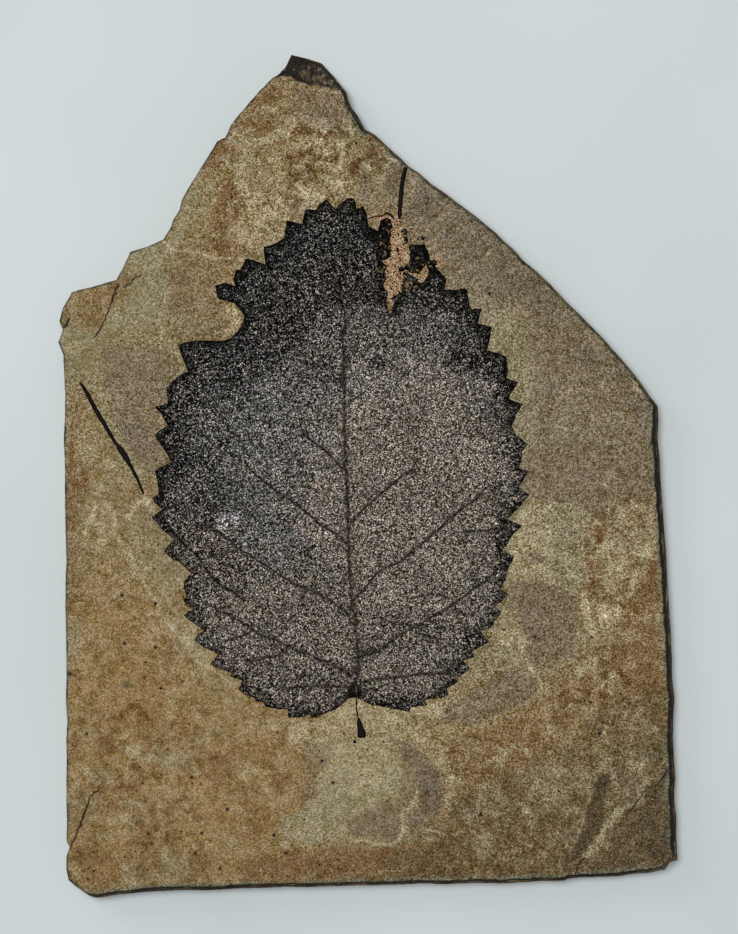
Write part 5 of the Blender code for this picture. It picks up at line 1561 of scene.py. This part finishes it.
ribCurve = bpy.data.curves.new("ribLines", "CURVE")
ribCurve.dimensions = "3D"
for k, (rootWidth, tipWidth, line) in enumerate(veins.values()):
    places = resampled(line, 0.5)
    shaken = warped(places, 2.2, 0.14, 200.0 + k)
    heights = beddingHeight(shaken) + leaf["rise"] + leaf["veinRise"] - 0.02
    spline = ribCurve.splines.new("POLY")
    spline.points.add(len(shaken) - 1)
    unevenness = noiseAt(places, 1.3, 300.0 + k)
    for i, ((x, y), z) in enumerate(zip(shaken, heights)):
        share = i / (len(shaken) - 1)
        spline.points[i].co = (x * metre, y * metre, z * metre, 1)
        spline.points[i].radius = (
            (rootWidth + (tipWidth - rootWidth) * share) * 2 * max(0.2, 1 + 1.7 * unevenness[i])
        )
ribSource = newObject("ribLines", ribCurve)
grownPiece(
    "leafVeins",
    ribSource,
    ribTree,
    {
        "Rib Width": metre * 0.44, "Rib Height": metre * 0.2, "Step": metre * 0.4, "Sides": 8,
        "Material": veinMaterial,
    },
    "leaf_film",
)
bpy.data.objects.remove(ribSource)

scatterTree, given = newTree("scatteredGrains", {
    "Grain": ("NodeSocketObject", None),
    "Per Square Metre": ("NodeSocketFloat", 1.0),
    "Smallest": ("NodeSocketFloat", 0.5),
    "Largest": ("NodeSocketFloat", 1.0),
    "Seed": ("NodeSocketInt", 0),
    "Material": ("NodeSocketMaterial", None),
})
where = addNode(
    scatterTree, "GeometryNodeInputNamedAttribute", {"Name": "grainShare"}, data_type="FLOAT",
).outputs["Attribute"]
thick = addNode(
    scatterTree, "ShaderNodeMath", {0: where, 1: given["Per Square Metre"]}, operation="MULTIPLY",
).outputs[0]
spots = addNode(
    scatterTree, "GeometryNodeDistributePointsOnFaces",
    {"Mesh": given["Geometry"], "Density": thick, "Seed": given["Seed"]}, distribute_method="RANDOM",
)
turned = addNode(
    scatterTree, "FunctionNodeRandomValue",
    {0: (-0.35, -0.35, 0.0), 1: (0.35, 0.35, 6.283), "Seed": given["Seed"]}, data_type="FLOAT_VECTOR",
)
sized = addNode(
    scatterTree, "FunctionNodeRandomValue",
    {2: given["Smallest"], 3: given["Largest"], "Seed": given["Seed"]}, data_type="FLOAT",
)
grainShape = addNode(scatterTree, "GeometryNodeObjectInfo", {"Object": given["Grain"]}).outputs["Geometry"]
placed = addNode(
    scatterTree,
    "GeometryNodeInstanceOnPoints",
    {
        "Points": spots.outputs["Points"], "Instance": grainShape, "Rotation": turned.outputs[0],
        "Scale": sized.outputs[1],
    },
)
whole = addNode(scatterTree, "GeometryNodeRealizeInstances", {"Geometry": placed.outputs["Instances"]})
painted = addNode(
    scatterTree, "GeometryNodeSetMaterial",
    {"Geometry": whole.outputs["Geometry"], "Material": given["Material"]},
)
addNode(scatterTree, "NodeGroupOutput", {"Geometry": painted.outputs["Geometry"]})

# one grain: a flattened pebble a millimetre wide
pebble = bmesh.new()
bmesh.ops.create_icosphere(pebble, subdivisions=1, radius=0.5 * metre)
for vertex in pebble.verts:
    vertex.co *= 1 + 0.25 * noise.noise(vertex.co * 3000)
    vertex.co.z *= 0.38
grainMesh = bpy.data.meshes.new("grain")
pebble.to_mesh(grainMesh)
pebble.free()
grainObject = newObject("grain", grainMesh)

# the open bedding plane, and the torn strip, as surfaces to scatter over
grainBeds = {}
openShare = 1 - insideOutline(topPlan, leafOutline)
openShare = openShare * smoothStep(distanceTo(topPlan, leafOutline + leafOutline[:1], 0.2), 0.3, 0.8)
tornShare = np.minimum(
    1, ovalShare(topPlan, [(5.0, 43.0, 2.6, 9.0, 0, 1.0), (11.0, 41.0, 3.0, 1.6, 20, 0.8)], 71.0),
)
for bedName, bedShare in {"rock": openShare, "torn": tornShare}.items():
    bedMesh = bpy.data.meshes.new(bedName)
    keep = [tuple(face) for face in topFaces if max(bedShare[k] for k in face) > 0]
    bedMesh.from_pydata((np.column_stack([topPlan, topHeight]) * metre).tolist(), [], keep)
    bedMesh.attributes.new("grainShare", "FLOAT", "POINT").data.foreach_set(
        "value", bedShare.astype(np.float32),
    )
    grainBeds[bedName] = newObject(bedName, bedMesh)
scatters = {
    # bed, grains for each square metre, smallest and largest in millimetres, seed, material and slot
    "darkGrains": ("rock", 9.0e4, 0.16, 0.36, 21, grainMaterials["rustedPyrite"], "shale"),
    "paleGrains": ("rock", 6.0e4, 0.14, 0.3, 22, grainMaterials["paleMica"], "shale"),
    "filmCrumbs": ("torn", 2.2e6, 0.15, 0.5, 23, coalMaterial, "leaf_film"),
}
for name, (bedName, density, smallest, largest, seed, material, slotName) in scatters.items():
    grownPiece(name, grainBeds[bedName], scatterTree, {
        "Grain": grainObject, "Per Square Metre": density, "Smallest": smallest, "Largest": largest,
        "Seed": seed, "Material": material,
    }, slotName)
for spare in (grainObject, *grainBeds.values()):
    bpy.data.objects.remove(spare)
print("veins and grains made")

bpy.context.view_layer.update()
